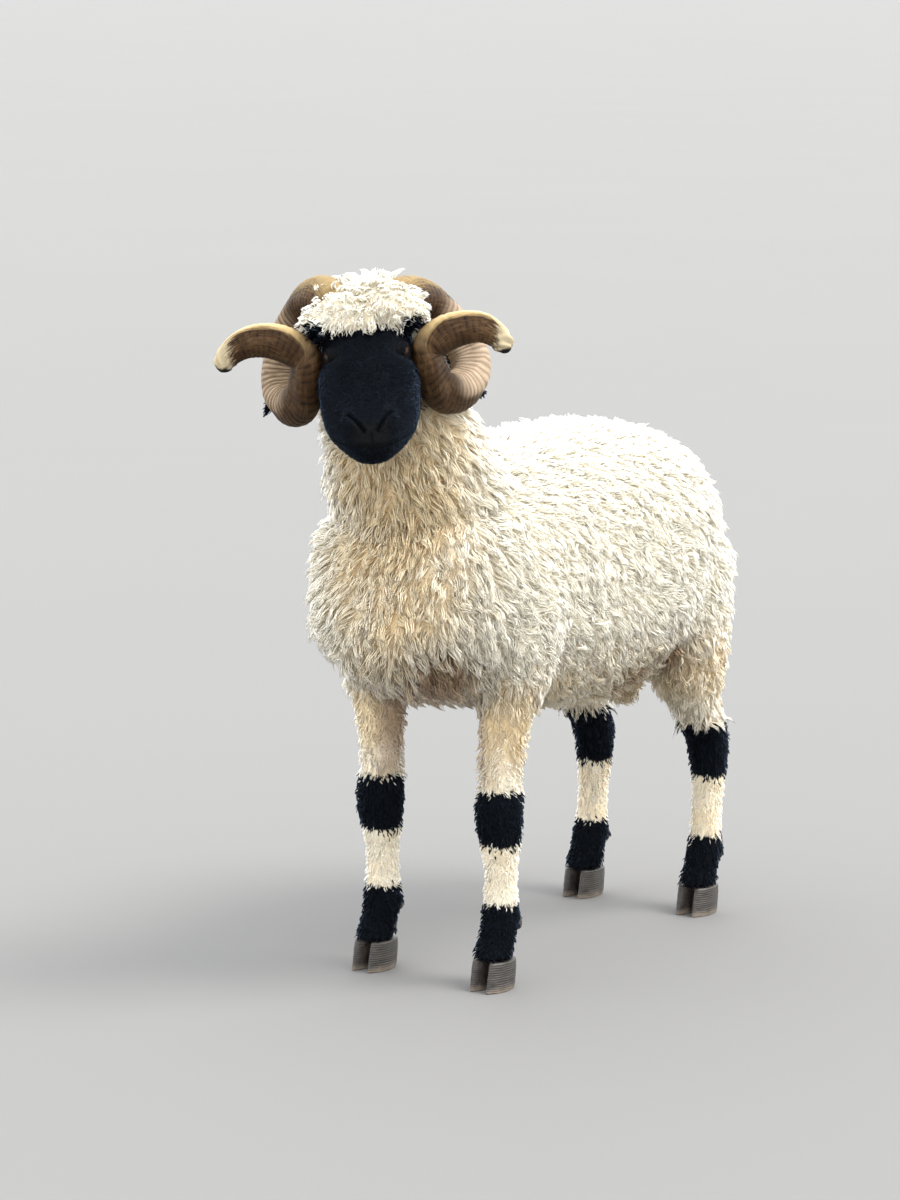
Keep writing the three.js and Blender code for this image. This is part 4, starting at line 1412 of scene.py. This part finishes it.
CHEST_END, SHOULDER_END, FLANK_END = -0.215, -0.04, 0.19  # along the trunk, in metres
x, y, z = triangle_middle.T
trunk = named("trunk")
arm_top = named("arm") * ramp(z, 0.40, 0.50)
shoulder = trunk * (y >= CHEST_END) * (y < SHOULDER_END) + arm_top
face_middle = in_face(triangle_middle)
haired = named("head") * (1 - bare_nose(face_middle, 230, 30)) * ~between_lids(face_middle)
forehead = named("head") & on_forehead(triangle_middle)
brows = named("head", "topknot") & on_brow(triangle_middle)
under_fringe = named("topknot") & below_fringe(triangle_middle) & ~brows
face = haired * ~forehead + under_fringe
PIECES = [
    (f"fleece_{part}_{side}", wanted * half, style)
    for part, wanted, style in (
        ("chest", trunk & (y < CHEST_END), CHEST),
        ("shoulder", shoulder, FLEECE),
        ("flank", trunk & (y >= SHOULDER_END) & (y < FLANK_END), FLEECE),
        ("rump", trunk & (y >= FLANK_END), FLEECE),
    )
    for side, half in (("left", x > 0), ("right", x <= 0))
]
PIECES += [
    ("fleece_neck", named("neck"), CHEST),
    ("fleece_topknot", (named("topknot") | forehead) & ~brows & ~under_fringe, POLL_WOOL),
    ("fleece_thigh_left", named("hindleg_left_thigh"), FLEECE),
    ("fleece_thigh_right", named("hindleg_right_thigh"), FLEECE),
    ("fleece_arms", named("arm") - 0.8 * arm_top, SHORT),
    ("fleece_tail", named("tail"), TAIL),
    ("fleece_pouch", named("pouch"), SHORT),
    ("hair_forelegs", named("foreleg") & ~named("arm"), LEG_HAIR),
    ("hair_hindlegs", named("hindleg") & ~named("thigh"), LEG_HAIR),
    ("hair_face_left", face * (face_middle[:, 0] > 0), FACE_HAIR),
    ("hair_face_right", face * (face_middle[:, 0] <= 0), FACE_HAIR),
    ("hair_brows", brows, BROW),
    ("hair_ears", named("ear_"), EAR_HAIR),
]
FIRST_SEED = 100
for number, (name, wanted, style) in enumerate(PIECES):
    grow_locks(name, wanted * 1.0, style, FIRST_SEED + number)


# ---------------------------------------------------------------- the display
# A pale floor that runs on behind the ram, the light of a bright overcast sky with a
# soft sun high on its left and a little behind, and the camera.

FLOOR_GREYS = (0.144, 0.144, 0.142, 1), (0.152, 0.152, 0.150, 1)
FLOOR_SIZE = 400
SKY_COLOUR = (0.98, 0.99, 1.0, 1)
SKY_LIGHT = 2.75
SUN_COLOUR = (1.0, 0.97, 0.92)
SUN_LIGHT = 3.4
SUN_WIDTH = 25
SUN_WAY = (0.80, 0.30, 1.25)
CAMERA_PLACE = (3.2923, -4.8442, 1.5)
CAMERA_TURN = (80.66, 0, 35)

floor_material, shader, shade = new_material("floor_grey", Roughness=0.9)
connect(shade, shade.noise(0.6).colour(*FLOOR_GREYS), shader, "Base Color")
bpy.ops.object.select_all(action="DESELECT")
bpy.ops.mesh.primitive_plane_add(size=FLOOR_SIZE, location=(0, 0, 0))
floor = bpy.context.object
floor.name = "floor"
floor.data.materials.append(floor_material)

world = bpy.data.worlds.new("studio")
world.use_nodes = True
sky = world.node_tree.nodes["Background"]
sky.inputs["Color"].default_value = SKY_COLOUR
sky.inputs["Strength"].default_value = SKY_LIGHT
bpy.context.scene.world = world
bpy.context.scene.view_settings.view_transform = "Standard"

sun = bpy.data.lights.new("sun", "SUN")
sun.energy = SUN_LIGHT
sun.angle = math.radians(SUN_WIDTH)
sun.color = SUN_COLOUR
holder = new_piece("sun", sun)
holder.rotation_euler = Vector(SUN_WAY).to_track_quat("Z", "Y").to_euler()

camera_data = bpy.data.cameras.new("camera")
camera_data.sensor_fit = "VERTICAL"
camera_data.sensor_height = 24
camera_data.lens = 80
camera_data.clip_end = 1000
camera = new_piece("camera", camera_data)
camera.location = CAMERA_PLACE
camera.rotation_euler = [math.radians(degrees) for degrees in CAMERA_TURN]
bpy.context.scene.camera = camera
